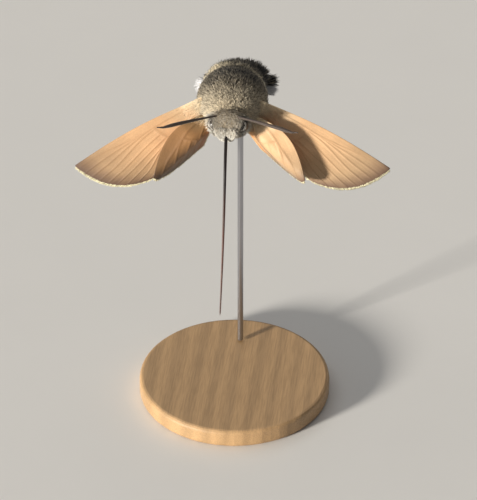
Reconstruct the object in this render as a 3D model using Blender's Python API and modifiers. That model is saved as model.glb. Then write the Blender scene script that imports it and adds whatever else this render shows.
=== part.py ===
"""Hummingbird hawk moth, Macroglossum stellatarum, hovering at life size on a plain display stand.

Metres, +Z up. The moth faces -Y, its left side is +X, and the origin is the middle of the stand's
underside. Places on the moth are given from the middle of its thorax as (side, ahead, up).
"""

import math
import random

import bmesh
import bpy
from mathutils import Matrix, Vector

MM = 0.001
SIDES = {"left": 1, "right": -1}

# Fit between neighbours
GAP = 0.3 * MM

# Stand
BASE_RADIUS = 15 * MM
BASE_HEIGHT = 3 * MM
BASE_EDGE = 0.6 * MM
ROD_RADIUS = 0.45 * MM
ROD_AHEAD = -11.5 * MM

# Thorax, whose middle stands just ahead of the middle of the base
THORAX_MIDDLE = Vector((0, -2.5 * MM, 56 * MM))
THORAX_HALF = Vector((5.4, 6.2, 5.0)) * MM

# Head and what it carries
HEAD_MIDDLE = Vector((0, 6.4, -0.1)) * MM
HEAD_HALF = Vector((3.3, 2.2, 2.4)) * MM
EYE_MIDDLE = Vector((2.3, 6.8, -0.5)) * MM
EYE_RADIUS = 1.2 * MM
PALP_ROOT = Vector((0.92, 6.8, -2.3)) * MM
PALP_TIP = Vector((0.85, 9.5, -1.25)) * MM
PALP_HALF_WIDTH = 0.75 * MM
PALP_HALF_DEPTH = 0.85 * MM

# Proboscis: out between the palps, a knee, then nearly straight down and forward
PROBOSCIS_START = Vector((0, 7.6, -0.6)) * MM
PROBOSCIS_EXIT = Vector((0, 9.1, -1.1)) * MM
PROBOSCIS_LENGTH = 26 * MM
PROBOSCIS_RADIUS = 0.28 * MM
PROBOSCIS_TIP_RADIUS = 0.2 * MM
PROBOSCIS_LEAN = math.radians(34)
PROBOSCIS_KNEE = 0.25
PROBOSCIS_KNEE_LEAN = math.radians(14)
PROBOSCIS_SWAY = 0.7 * MM

# Antennae: from root to tip, a club that swells from the first to the second share of the length and
# tapers from the third, and a hooked point
ANTENNA_ROOT = Vector((1.4, 6.9, 1.55)) * MM
ANTENNA_REACH = {
    "left": Vector((9.4, 4.6, 0.5)) * MM,
    "right": Vector((8.4, 5.8, 0.8)) * MM,
}
ANTENNA_BOW = 0.35 * MM
ANTENNA_HOOK = 0.3 * MM
ANTENNA_HOOK_FROM = 0.88
ANTENNA_CLUB = (0.3, 0.7, 0.82)
ANTENNA_RADIUS = 0.25 * MM
ANTENNA_CLUB_RADIUS = 0.33 * MM
ANTENNA_TIP_RADIUS = 0.13 * MM

# Abdomen: a spindle that leaves the thorax and bends down to the tail
ABDOMEN_START = Vector((0, -3.2, -0.3)) * MM
ABDOMEN_LENGTH = 16.5 * MM
ABDOMEN_DROP = (math.radians(20), math.radians(35))
ABDOMEN_SWAY = 0.6 * MM
ABDOMEN_HALF_WIDTH = (3.4, 4.4, 4.5, 4.0, 3.1, 1.9)
ABDOMEN_HALF_DEPTH = (3.0, 3.5, 3.5, 3.2, 2.6, 1.6)
TAIL_FROM = 0.8

# Locks: how far along each section stands and how wide it is, before the point
LOCK_SECTIONS = ((0, 0.75), (0.35, 1.0), (0.72, 0.7))
LOCK_THICKNESS = 0.6 * MM
LOCK_ROOT_DEPTH = 0.9 * MM

# Side tufts on each flank of the abdomen: from and to along it, count, length, width and sweep back
SIDE_TUFTS = (
    (0.32, 0.46, 7, 4.0 * MM, 1.7 * MM, math.radians(38)),
    (0.53, 0.63, 5, 3.3 * MM, 1.5 * MM, math.radians(56)),
)
SIDE_TUFT_TURN = math.radians(15)
SIDE_TUFT_TILT = math.radians(38)
SIDE_TUFT_CURL = 0.3 * MM

# Tail fan: each tier's count, half spread, root along the abdomen, lift over its middle, length and rise
TAIL_TIERS = (
    (9, math.radians(50), 0.87, 0.75 * MM, 6.4 * MM, math.radians(5)),
    (8, math.radians(44), 0.9, -0.55 * MM, 5.6 * MM, math.radians(-6)),
)
TAIL_ROOT_SPREAD = 1.9 * MM
TAIL_LOCK_WIDTH = 1.7 * MM

# Wings lie in a plane that faces forward and up by this much from level, and bank a little
WING_FACE = math.radians(35)
WING_BANK = math.radians(3.4)
MEMBRANE = 0.5 * MM
RIDGE = 0.16 * MM

FOREWING_ROOT = Vector((4.0, 2.6, 1.3)) * MM
FOREWING_COSTA = 21.8 * MM
FOREWING_INNER = 13.6 * MM
FOREWING_DROOP = math.radians(26)
FOREWING_SPREAD = math.radians(30)
FOREWING_ROOT_WIDTH = 1.7 * MM
FOREWING_MARGIN_BULGE = 2.1 * MM
FOREWING_BACK = 1.6 * MM
FOREWING_TWIST = 0.14
FOREWING_CAMBER = 0.4 * MM
FOREWING_BEND = 0.95 * MM
FOREWING_CELLS = (12, 20)

HINDWING_ROOT = Vector((3.4, 3.7, -0.9)) * MM
HINDWING_AXIS = 12 * MM
HINDWING_DROOP = math.radians(43)
HINDWING_ROOT_WIDTH = 1.5 * MM
HINDWING_SHOULDER = 1.9 * MM
HINDWING_FORWARD = 1.2 * MM
HINDWING_ROLL_FROM = 0.6 * MM
HINDWING_ROLL_RADIUS = 1.2 * MM
HINDWING_ROLL = math.radians(80)
HINDWING_CELLS = (10, 14)

# Legs, folded back under the body: coxa, femur, tibia and tarsus ends
LEG_JOINTS = {
    "front": ((1.1, 2.6, -3.7), (1.2, 2.2, -5.3), (1.8, 0.5, -6.4), (1.5, -2.2, -7.2), (1.6, -4.8, -8)),
    "middle": ((2, 0, -3.9), (2.5, -0.4, -5.5), (3.6, -2.4, -6.5), (3, -5.6, -7.6), (2.8, -8.6, -8.9)),
    "hind": ((1.5, -2.4, -3.7), (1.5, -3, -5.5), (1.6, -6.3, -6.6), (1.5, -10.4, -8.7), (1.6, -14.2, -10.6)),
}
LEG_RADII = (0.38, 0.36, 0.32, 0.27, 0.25)

COLOURS = {
    "thorax": (0.36, 0.31, 0.23),
    "head": (0.48, 0.43, 0.34),
    "eye": (0.03, 0.025, 0.02),
    "palp": (0.8, 0.78, 0.74),
    "proboscis": (0.05, 0.03, 0.025),
    "antenna": (0.12, 0.09, 0.07),
    "forewing": (0.72, 0.47, 0.28),
    "hindwing": (0.75, 0.42, 0.2),
    "abdomen": (0.25, 0.21, 0.16),
    "tail": (0.03, 0.028, 0.025),
    "leg": (0.45, 0.38, 0.3),
    "base": (0.6, 0.45, 0.3),
    "rod": (0.6, 0.6, 0.62),
}
METALS = {"rod"}
GLOSSY = {"eye", "proboscis", "rod"}


def clear_scene():
    """Removes whatever the scene holds."""
    for obj in list(bpy.data.objects):
        bpy.data.objects.remove(obj, do_unlink=True)


def new_collection(name):
    collection = bpy.data.collections.new(name)
    bpy.context.scene.collection.children.link(collection)
    return collection


def material(name):
    """One Principled material for each finish, made the first time that it is asked for."""
    if name in bpy.data.materials:
        return bpy.data.materials[name]
    made = bpy.data.materials.new(name)
    made.use_nodes = True
    shader = made.node_tree.nodes["Principled BSDF"]
    shader.inputs["Base Color"].default_value = (*COLOURS[name], 1)
    shader.inputs["Roughness"].default_value = 0.25 if name in GLOSSY else 0.85
    shader.inputs["Metallic"].default_value = 1 if name in METALS else 0
    made.diffuse_color = (*COLOURS[name], 1)
    return made


def to_world(point):
    """World place of a (side, ahead, up) point on the moth."""
    return Vector((point[0], THORAX_MIDDLE.y - point[1], THORAX_MIDDLE.z + point[2]))


def mirrored(point, side):
    return Vector((point[0] * SIDES[side], point[1], point[2]))


def ramp(value):
    """Rises smoothly from 0 to 1."""
    value = min(max(value, 0), 1)
    return value * value * (3 - 2 * value)


def profile(values, t):
    """Reads evenly spaced values at t, from 0 at the first to 1 at the last, along a smooth curve."""
    place = min(max(t, 0), 1) * (len(values) - 1)
    at = min(int(place), len(values) - 2)
    before = values[max(at - 1, 0)]
    after = values[min(at + 2, len(values) - 1)]
    f = place - at
    rise = (values[at + 1] - before) / 2
    fall = (after - values[at]) / 2
    step = values[at] - values[at + 1]
    return values[at] + f * (rise + f * (-3 * step - 2 * rise - fall + f * (2 * step + rise + fall)))


def add_object(name, bm, collection, finish=None):
    """Makes an object of the bmesh, with its faces pointing out."""
    bmesh.ops.recalc_face_normals(bm, faces=bm.faces)
    if bm.calc_volume(signed=True) < 0:
        bmesh.ops.reverse_faces(bm, faces=bm.faces)
    mesh = bpy.data.meshes.new(name)
    bm.to_mesh(mesh)
    bm.free()
    obj = bpy.data.objects.new(name, mesh)
    collection.objects.link(obj)
    if finish:
        mesh.materials.append(material(finish))
        smooth(mesh)
    return obj


def smooth(mesh, angle=40):
    mesh.shade_smooth()
    mesh.set_sharp_from_angle(angle=math.radians(angle))


def add_cutter(name, bm, cutters):
    """Makes an object that only cuts others."""
    obj = add_object(name, bm, cutters)
    obj.hide_render = True
    obj.display_type = "WIRE"
    return obj


def shaped_sphere(shape, segments=24, rings=16):
    """A sphere whose poles lie along Y, each point of which is moved by the function given."""
    bm = bmesh.new()
    upright = Matrix.Rotation(math.radians(90), 4, "X")
    bmesh.ops.create_uvsphere(bm, u_segments=segments, v_segments=rings, radius=1, matrix=upright)
    for vert in bm.verts:
        vert.co = to_world(shape(vert.co))
    return bm


def ellipsoid(middle, half, grow=0.0, segments=24, rings=16):
    def shape(p):
        return Vector([middle[i] + p[i] * (half[i] + grow) for i in range(3)])

    return shaped_sphere(shape, segments, rings)


def tube(name, points, radii, collection, sides=8):
    """A round, closed tube as a mesh object, through world points that each have a radius."""
    curve = bpy.data.curves.new(name, "CURVE")
    curve.dimensions = "3D"
    curve.bevel_depth = 1
    curve.bevel_resolution = sides // 2 - 2
    curve.use_fill_caps = True
    spline = curve.splines.new("POLY")
    spline.points.add(len(points) - 1)
    for spot, point, radius in zip(spline.points, points, radii):
        spot.co = (*point, 1)
        spot.radius = radius
    guide = bpy.data.objects.new(name + "_guide", curve)
    collection.objects.link(guide)
    graph = bpy.context.evaluated_depsgraph_get()
    mesh = bpy.data.meshes.new_from_object(guide.evaluated_get(graph))
    bm = bmesh.new()
    bm.from_mesh(mesh)
    bmesh.ops.remove_doubles(bm, verts=bm.verts, dist=0.001 * MM)
    bm.transform(guide.matrix_world)
    bpy.data.objects.remove(guide)
    bpy.data.curves.remove(curve)
    bpy.data.meshes.remove(mesh)
    return bm


def keep_largest(obj):
    """Drops every closed surface of the mesh but the largest."""
    bm = bmesh.new()
    bm.from_mesh(obj.data)
    unseen = set(bm.verts)
    pieces = []
    while unseen:
        found = {unseen.pop()}
        front = list(found)
        while front:
            for edge in front.pop().link_edges:
                for vert in edge.verts:
                    if vert in unseen:
                        unseen.discard(vert)
                        found.add(vert)
                        front.append(vert)
        pieces.append(found)
    pieces.sort(key=len)
    scraps = [vert for piece in pieces[:-1] for vert in piece]
    bmesh.ops.delete(bm, geom=scraps, context="VERTS")
    bm.to_mesh(obj.data)
    bm.free()


def apply_modifiers(obj):
    bpy.context.view_layer.update()
    graph = bpy.context.evaluated_depsgraph_get()
    old = obj.data
    obj.data = bpy.data.meshes.new_from_object(obj.evaluated_get(graph))
    obj.modifiers.clear()
    bpy.data.meshes.remove(old)
    keep_largest(obj)


def cut_clear(obj, *cutters):
    """Cuts the object clear of each neighbour's grown shape."""
    for cutter in cutters:
        boolean = obj.modifiers.new("clear of " + cutter.name, "BOOLEAN")
        boolean.operation = "DIFFERENCE"
        boolean.object = cutter
    apply_modifiers(obj)


def fuse(obj, pieces):
    """Joins the closed pieces to the object they grow from, and removes them."""
    group = new_collection(obj.name + "_pieces")
    for number, bm in enumerate(pieces):
        add_object(f"{obj.name}_piece_{number}", bm, group)
    boolean = obj.modifiers.new("fuse", "BOOLEAN")
    boolean.operation = "UNION"
    boolean.operand_type = "COLLECTION"
    boolean.collection = group
    apply_modifiers(obj)
    for piece in list(group.objects):
        bpy.data.objects.remove(piece)
    bpy.data.collections.remove(group)


def make_thorax(parts, cutters):
    add_object("thorax", ellipsoid(THORAX_MIDDLE * 0, THORAX_HALF), parts, "thorax")
    return add_cutter("thorax_clearance", ellipsoid(THORAX_MIDDLE * 0, THORAX_HALF, GAP), cutters)


def make_head(parts, cutters, thorax):
    head = add_object("head", ellipsoid(HEAD_MIDDLE, HEAD_HALF, segments=20, rings=14), parts, "head")
    sockets = []
    for side in SIDES:
        middle = mirrored(EYE_MIDDLE, side)
        radius = Vector((EYE_RADIUS,) * 3)
        eye = ellipsoid(middle, radius, segments=16, rings=10)
        cut_clear(add_object("eye_" + side, eye, parts, "eye"), thorax)
        socket = ellipsoid(middle, radius, GAP, segments=16, rings=10)
        sockets.append(add_cutter("socket_" + side, socket, cutters))
    cut_clear(head, thorax, *sockets)
    return add_cutter("head_clearance", ellipsoid(HEAD_MIDDLE, HEAD_HALF, GAP, 20, 14), cutters)


def proboscis_points(count=16):
    """From inside the head, out between the palps, then along the lean with a slight knee."""
    points = [to_world(PROBOSCIS_START), to_world(PROBOSCIS_EXIT)]
    place = PROBOSCIS_EXIT.copy()
    step = PROBOSCIS_LENGTH / count
    for number in range(count):
        t = (number + 0.5) / count
        lean = PROBOSCIS_LEAN + PROBOSCIS_KNEE_LEAN * (1 - ramp(t / PROBOSCIS_KNEE))
        place += Vector((0, math.sin(lean), -math.cos(lean))) * step
        place.x = PROBOSCIS_SWAY * t * t
        points.append(to_world(place))
    return points


def make_proboscis(parts, cutters, head):
    points = proboscis_points()
    radii = [PROBOSCIS_RADIUS + (PROBOSCIS_TIP_RADIUS - PROBOSCIS_RADIUS) * ramp(i / len(points) * 1.6 - 0.6)
             for i in range(len(points))]
    proboscis = add_object("proboscis", tube("proboscis", points, radii, parts), parts, "proboscis")
    cut_clear(proboscis, head)
    wide = [radius + GAP for radius in radii]
    return add_cutter("proboscis_clearance", tube("clearance", points, wide, parts), cutters)


def make_palps(parts, head, proboscis):
    for side in SIDES:
        root = mirrored(PALP_ROOT, side)
        tip = mirrored(PALP_TIP, side)
        along = tip - root
        across = Vector((1, 0, 0))
        over = across.cross(along).normalized()

        def shape(p):
            reach = root + along * (0.5 - 0.5 * p.y)
            full = 1 - 0.25 * (0.5 - 0.5 * p.y)
            return reach + across * p.x * PALP_HALF_WIDTH * full + over * p.z * PALP_HALF_DEPTH * full

        palp = add_object("palp_" + side, shaped_sphere(shape, 14, 10), parts, "palp")
        cut_clear(palp, head, proboscis)


def make_antennae(parts, head):
    count = 12
    for side in SIDES:
        root = mirrored(ANTENNA_ROOT, side)
        reach = mirrored(ANTENNA_REACH[side], side)
        points = []
        radii = []
        for number in range(count + 1):
            t = number / count
            hook = ANTENNA_HOOK * ramp((t - ANTENNA_HOOK_FROM) / (1 - ANTENNA_HOOK_FROM))
            bow = Vector((0, -hook, 4 * ANTENNA_BOW * t * (1 - t) + hook))
            points.append(to_world(root + reach * t + bow))
            swell = ramp((t - ANTENNA_CLUB[0]) / (ANTENNA_CLUB[1] - ANTENNA_CLUB[0]))
            club = ANTENNA_RADIUS + (ANTENNA_CLUB_RADIUS - ANTENNA_RADIUS) * swell
            taper = ramp((t - ANTENNA_CLUB[2]) / (1 - ANTENNA_CLUB[2]))
            radii.append(club + (ANTENNA_TIP_RADIUS - club) * taper)
        bm = tube("antenna", points, radii, parts)
        cut_clear(add_object("antenna_" + side, bm, parts, "antenna"), head)


def abdomen_middle(t):
    """Centre line of the abdomen, from 0 inside the thorax to 1 at the tail."""
    place = ABDOMEN_START.copy()
    steps = 12
    for number in range(steps):
        drop = ABDOMEN_DROP[0] + (ABDOMEN_DROP[1] - ABDOMEN_DROP[0]) * (number + 0.5) / steps * t
        place -= Vector((0, math.cos(drop), math.sin(drop))) * ABDOMEN_LENGTH * t / steps
    place.x -= ABDOMEN_SWAY * math.sin(math.pi * t)
    return place


def abdomen_axes(t):
    """Directions across, over and along the abdomen at t."""
    drop = ABDOMEN_DROP[0] + (ABDOMEN_DROP[1] - ABDOMEN_DROP[0]) * t
    along = Vector((0, -math.cos(drop), -math.sin(drop)))
    over = Vector((0, -math.sin(drop), math.cos(drop)))
    return Vector((1, 0, 0)), over, along


def abdomen_surface(t, turn, grow=0.0):
    """A point on the abdomen at t, turned round it from its left side towards its back."""
    across, over, _ = abdomen_axes(t)
    width = profile(ABDOMEN_HALF_WIDTH, t) * MM + grow
    depth = profile(ABDOMEN_HALF_DEPTH, t) * MM + grow
    return abdomen_middle(t) + across * math.cos(turn) * width + over * math.sin(turn) * depth


def abdomen_spindle(grow=0.0, segments=24, rings=16):
    def shape(p):
        t = 0.5 + 0.5 * p.y
        round_end = math.hypot(p.x, p.z)
        turn = math.atan2(p.z, p.x)
        full = min(1, round_end / math.sin(math.pi / 5)) if t > 0.5 else min(1, round_end * 1.6)
        middle = abdomen_middle(t)
        return middle + (abdomen_surface(t, turn, grow) - middle) * full

    return shaped_sphere(shape, segments, rings)


def halved(bm, t, keep_tail):
    """Cuts the spindle across at t and closes the cut, keeping its tail or its front."""
    along = abdomen_axes(t)[2]
    normal = Vector((0, -along.y, along.z))
    geom = list(bm.verts) + list(bm.edges) + list(bm.faces)
    cut = bmesh.ops.bisect_plane(
        bm,
        geom=geom,
        plane_co=to_world(abdomen_middle(t)),
        plane_no=normal,
        clear_inner=keep_tail,
        clear_outer=not keep_tail,
    )
    edges = [item for item in cut["geom_cut"] if isinstance(item, bmesh.types.BMEdge)]
    bmesh.ops.edgeloop_fill(bm, edges=edges)
    return bm


def lock(root, direction, face, length, width, curl):
    """A flat, tapered lock: lens-shaped sections from a blunt root to a point that curls off its face."""
    along = direction.normalized()
    across = along.cross(face).normalized()
    over = across.cross(along)
    bm = bmesh.new()
    rings = []
    for reach, wide in LOCK_SECTIONS:
        middle = root + along * length * reach - over * curl * reach * reach
        half = across * width * wide / 2
        rise = over * LOCK_THICKNESS / 2
        rings.append([bm.verts.new(to_world(middle + out)) for out in (half, rise, -half, -rise)])
    tip = bm.verts.new(to_world(root + along * length - over * curl))
    bm.faces.new(rings[0])
    for near, far in zip(rings, rings[1:]):
        for i in range(4):
            j = (i + 1) % 4
            if i % 2:
                bm.faces.new((near[i], near[j], far[i]))
                bm.faces.new((far[i], near[j], far[j]))
            else:
                bm.faces.new((near[i], near[j], far[j]))
                bm.faces.new((far[i], near[i], far[j]))
    for i in range(4):
        bm.faces.new((rings[-1][i], rings[-1][(i + 1) % 4], tip))
    return bm


def side_tuft_locks(draw):
    """White and black tufts that stand out from both flanks, each swept back over the next."""
    locks = []
    for side in SIDES.values():
        for first, last, count, length, width, sweep in SIDE_TUFTS:
            for number in range(count):
                t = first + (last - first) * number / (count - 1)
                turn = SIDE_TUFT_TURN * (number % 3 - 1)
                across, over, along = abdomen_axes(t)
                out = across * side * math.cos(turn) + over * math.sin(turn)
                root = abdomen_surface(t, turn if side > 0 else math.pi - turn) - out * LOCK_ROOT_DEPTH
                aim = out * math.cos(sweep) + along * math.sin(sweep)
                behind = along * math.cos(sweep) - out * math.sin(sweep)
                face = over * math.cos(SIDE_TUFT_TILT) - behind * math.sin(SIDE_TUFT_TILT)
                reach = length * draw.uniform(0.92, 1.06)
                locks.append(lock(root, aim, face, reach, width, SIDE_TUFT_CURL))
    return locks


def tail_locks(draw):
    """Two tiers of long locks that fan out of the tail, the lower ones between the upper."""
    locks = []
    for count, spread, t, lift, length, rise in TAIL_TIERS:
        across, over, along = abdomen_axes(t)
        for number in range(count):
            turn = spread * (2 * number / (count - 1) - 1)
            root = abdomen_middle(t) + across * math.sin(turn) * TAIL_ROOT_SPREAD
            root += over * (lift * math.cos(turn) + 0.18 * MM * (number % 2))
            aim = along * math.cos(turn) + across * math.sin(turn) + over * math.sin(rise)
            reach = length * (1 - 0.16 * abs(turn / spread)) * draw.uniform(0.96, 1.04)
            locks.append(lock(root, aim, over, reach, TAIL_LOCK_WIDTH, 0.5 * MM))
    return locks


def make_abdomen(parts, cutters, thorax):
    draw = random.Random(7)
    gap = GAP / ABDOMEN_LENGTH
    abdomen = add_object("abdomen", halved(abdomen_spindle(), TAIL_FROM - gap / 2, False), parts, "abdomen")
    fuse(abdomen, side_tuft_locks(draw))
    cut_clear(abdomen, thorax)
    tail = add_object("tail_fan", halved(abdomen_spindle(), TAIL_FROM + gap / 2, True), parts, "tail")
    fuse(tail, tail_locks(draw))
    return add_cutter("abdomen_clearance", abdomen_spindle(GAP), cutters)


def wing_axes(side, droop):
    """Directions outward along the wing's axis, from that towards its hind edge, and off its face."""
    droop -= SIDES[side] * WING_BANK
    out = Vector((SIDES[side], 0, 0))
    raised = Vector((0, -math.sin(WING_FACE), math.cos(WING_FACE)))
    facing = Vector((0, math.cos(WING_FACE), math.sin(WING_FACE)))
    span = out * math.cos(droop) - raised * math.sin(droop)
    chord = -out * math.sin(droop) - raised * math.cos(droop)
    return span, chord, facing


def forewing_place(u, v):
    """Span, chord and normal places on the forewing: u from root to margin, v from costa to inner edge."""
    root = Vector((0, (v - 0.35) * FOREWING_ROOT_WIDTH))
    apex = Vector((FOREWING_COSTA, 0))
    tornus = Vector((math.cos(FOREWING_SPREAD), math.sin(FOREWING_SPREAD))) * FOREWING_INNER
    edge = (tornus - apex).normalized()
    square = Vector((-edge.y, edge.x)) * -1
    margin = apex.lerp(tornus, v) + square * FOREWING_MARGIN_BULGE * math.sin(math.pi * v) ** 0.8
    bow = Vector((0, (-0.7 + 1.3 * v) * MM)) * math.sin(math.pi * u)
    place = root.lerp(margin, u) + bow
    reach = place.length
    back = -FOREWING_BACK * ramp(reach / (4 * MM)) - FOREWING_TWIST * max(place.y, 0)
    back += FOREWING_CAMBER * math.sin(math.pi * v) * ramp(u * 2) - FOREWING_BEND * u * u * (1 - v / 2)
    return place.x, place.y, back


def forewing_ridge(row, column):
    """Height of the veins: two stems and the bar that closes their cell, then the branches to the margin."""
    rows, columns = FOREWING_CELLS
    cell_end = 5
    stems = (2, 6, 14, columns)
    if column in (0, columns):
        return 0.5 * RIDGE
    if row == cell_end and 6 <= column <= 14:
        return RIDGE
    if row < cell_end:
        return RIDGE if column in stems else 0
    return RIDGE if column % 2 == 0 and row < rows else 0


def hindwing_place(u, v):
    """Places on the hindwing, whose hind part rolls away from its normal."""
    root = Vector((0, (v - 0.5) * HINDWING_ROOT_WIDTH))
    turn = math.radians(8 + 74 * v)
    far = HINDWING_AXIS * (1 - 0.42 * ramp(v))
    margin = Vector((far * math.cos(turn * 0.72), far * math.sin(turn * 0.72)))
    bow = Vector((0, -HINDWING_SHOULDER * (1 - v))) * math.sin(math.pi * u)
    place = root.lerp(margin, u) + bow
    along, across = place
    back = HINDWING_FORWARD * ramp(place.length / (4 * MM))
    beyond = across - HINDWING_ROLL_FROM
    if beyond <= 0:
        return along, across, back
    arc = min(beyond / HINDWING_ROLL_RADIUS, HINDWING_ROLL)
    straight = beyond - arc * HINDWING_ROLL_RADIUS
    rolled = HINDWING_ROLL_RADIUS * math.sin(arc) + straight * math.cos(arc)
    sunk = HINDWING_ROLL_RADIUS * (1 - math.cos(arc)) + straight * math.sin(arc)
    return along, HINDWING_ROLL_FROM + rolled, back - sunk


def hindwing_ridge(row, column):
    rows, columns = HINDWING_CELLS
    if column in (0, columns):
        return 0.5 * RIDGE
    if row < 4:
        return RIDGE if column in (4, 10) else 0
    if row == 4 and 4 <= column <= 10:
        return RIDGE
    return RIDGE if column % 2 == 0 and row < rows else 0


def wing_mesh(side, root, droop, place, ridge, cells):
    """A membrane of even thickness with ridges along its veins, alike on both faces."""
    span, chord, facing = wing_axes(side, droop)
    root = mirrored(root, side)
    rows, columns = cells

    def middle(u, v):
        a, b, c = place(u, v)
        return root + span * a + chord * b + facing * c

    bm = bmesh.new()
    bmesh.ops.create_grid(bm, x_segments=rows, y_segments=columns, size=0.5)
    bmesh.ops.triangulate(bm, faces=bm.faces)
    spots = [(vert.co.x + 0.5, vert.co.y + 0.5) for vert in bm.verts]
    copy = bmesh.ops.duplicate(bm, geom=list(bm.verts) + list(bm.edges) + list(bm.faces))
    over = list(bm.verts)[: len(spots)]
    under = [copy["vert_map"][vert] for vert in over]
    bmesh.ops.reverse_faces(bm, faces=[f for f in copy["geom"] if isinstance(f, bmesh.types.BMFace)])
    small = 1e-3
    for (u, v), high, low in zip(spots, over, under):
        near_u = middle(min(u + small, 1), v) - middle(max(u - small, 0), v)
        near_v = middle(u, min(v + small, 1)) - middle(u, max(v - small, 0))
        normal = near_u.cross(near_v).normalized()
        half = MEMBRANE / 2 + ridge(round(u * rows), round(v * columns))
        high.co = to_world(middle(u, v) + normal * half)
        low.co = to_world(middle(u, v) - normal * half)
    rims = [edge for edge in bm.edges if edge.is_boundary]
    bmesh.ops.bridge_loops(bm, edges=rims)
    bmesh.ops.triangulate(bm, faces=bm.faces)
    return bm


def make_wings(parts, thorax):
    for side in SIDES:
        fore = wing_mesh(
            side, FOREWING_ROOT, FOREWING_DROOP, forewing_place, forewing_ridge, FOREWING_CELLS
        )
        hind = wing_mesh(
            side, HINDWING_ROOT, HINDWING_DROOP, hindwing_place, hindwing_ridge, HINDWING_CELLS
        )
        cut_clear(add_object("forewing_" + side, fore, parts, "forewing"), thorax)
        cut_clear(add_object("hindwing_" + side, hind, parts, "hindwing"), thorax)


def make_legs(parts, thorax):
    for side in SIDES:
        for pair, joints in LEG_JOINTS.items():
            points = []
            radii = []
            for number, joint in enumerate(joints):
                here = mirrored(Vector(joint) * MM, side)
                if number:
                    points.append(to_world((before + here) / 2))
                    radii.append((LEG_RADII[number - 1] + LEG_RADII[number]) / 2 * MM)
                points.append(to_world(here))
                radii.append(LEG_RADII[number] * MM)
                before = here
            bm = tube("leg", points, radii, parts)
            cut_clear(add_object(f"leg_{pair}_{side}", bm, parts, "leg"), thorax)


def make_stand(parts, abdomen):
    bm = bmesh.new()
    bmesh.ops.create_cone(
        bm,
        cap_ends=True,
        segments=64,
        radius1=BASE_RADIUS,
        radius2=BASE_RADIUS,
        depth=BASE_HEIGHT,
        matrix=Matrix.Translation((0, 0, BASE_HEIGHT / 2)),
    )
    base = add_object("stand_base", bm, parts, "base")
    bevel = base.modifiers.new("edge", "BEVEL")
    bevel.width = BASE_EDGE
    bevel.segments = 3
    bevel.limit_method = "ANGLE"
    bevel.angle_limit = math.radians(60)

    foot = BASE_HEIGHT + GAP
    head = THORAX_MIDDLE.z + abdomen_middle(0.5).z
    bm = bmesh.new()
    bmesh.ops.create_cone(
        bm,
        cap_ends=True,
        segments=20,
        radius1=ROD_RADIUS,
        radius2=ROD_RADIUS,
        depth=head - foot,
        matrix=Matrix.Translation((0, THORAX_MIDDLE.y - ROD_AHEAD, (head + foot) / 2)),
    )
    cut_clear(add_object("stand_rod", bm, parts, "rod"), abdomen)


def main():
    clear_scene()
    parts = new_collection("hummingbird_hawk_moth")
    cutters = new_collection("cutters")
    thorax = make_thorax(parts, cutters)
    head = make_head(parts, cutters, thorax)
    proboscis = make_proboscis(parts, cutters, head)
    make_palps(parts, head, proboscis)
    make_antennae(parts, head)
    abdomen = make_abdomen(parts, cutters, thorax)
    make_wings(parts, thorax)
    make_legs(parts, thorax)
    make_stand(parts, abdomen)


main()
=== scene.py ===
"""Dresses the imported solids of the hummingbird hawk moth: fur, scales, wings, feelers and its stand.

Places on the moth are (side, ahead, up) in millimetres from the middle of the thorax, as in the solids.
"""

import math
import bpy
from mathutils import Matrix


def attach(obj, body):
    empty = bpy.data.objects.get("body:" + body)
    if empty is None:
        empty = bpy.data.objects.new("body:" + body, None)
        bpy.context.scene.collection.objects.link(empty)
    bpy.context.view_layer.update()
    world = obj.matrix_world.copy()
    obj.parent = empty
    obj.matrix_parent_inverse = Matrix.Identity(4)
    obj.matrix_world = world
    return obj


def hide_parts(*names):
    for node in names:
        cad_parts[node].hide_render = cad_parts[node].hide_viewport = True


bl_info = {
    "name": "Hummingbird Hawk Moth",
    "version": (1, 0, 0),
    "blender": (4, 5, 0),
    "location": "3D View > Sidebar > Hawk Moth",
    "description": "Builds the furred body, wings, feelers and display stand of a life-size hawk moth",
    "category": "Add Mesh",
}

import bmesh
import bpy
import numpy as np
from bpy.props import FloatProperty, FloatVectorProperty, IntProperty, PointerProperty
from mathutils import Matrix, Vector

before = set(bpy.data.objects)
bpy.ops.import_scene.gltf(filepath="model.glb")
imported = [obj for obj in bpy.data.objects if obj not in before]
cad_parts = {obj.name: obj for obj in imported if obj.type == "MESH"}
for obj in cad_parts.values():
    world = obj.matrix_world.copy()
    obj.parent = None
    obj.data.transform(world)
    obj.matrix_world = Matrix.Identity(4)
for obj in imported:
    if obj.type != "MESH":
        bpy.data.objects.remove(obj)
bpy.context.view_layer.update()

MM = 0.001
SIDES = {"left": 1, "right": -1}
THORAX = np.array((0.0, -2.5, 56.0))
THORAX_HALF = np.array((5.4, 6.2, 5.0))
HEAD = np.array((0.0, 6.4, -0.1))
HEAD_HALF = np.array((3.3, 2.2, 2.4))
EYE = np.array((1.98, 6.75, -0.08))
EYE_GAZE = np.array((0.05, 0.76, 0.65))
EYE_SLIT = (28, 44)
EYE_BARE = 53
MUZZLE_DENSITY = 42
PALP_ROOT = np.array((0.5, 8.35, -1.85))
PALP_TIP = np.array((0.92, 8.25, 0.5))

PROBOSCIS_START = np.array((0.0, 7.6, -0.6))
PROBOSCIS_EXIT = np.array((0.0, 9.1, -1.1))
PROBOSCIS_LENGTH = 26.0
PROBOSCIS_LEAN = math.radians(34)
PROBOSCIS_KNEE = 0.25
PROBOSCIS_KNEE_LEAN = math.radians(14)
PROBOSCIS_SWAY = 0.7
PROBOSCIS_BOW = 1.2

ANTENNA_ROOT = np.array((1.4, 6.9, 1.55))
ANTENNA_REACH = {"left": np.array((9.4, 4.6, 0.5)), "right": np.array((8.4, 5.8, 0.8))}
ANTENNA_BOW = 0.15
ANTENNA_HOOK = 0.18

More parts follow.
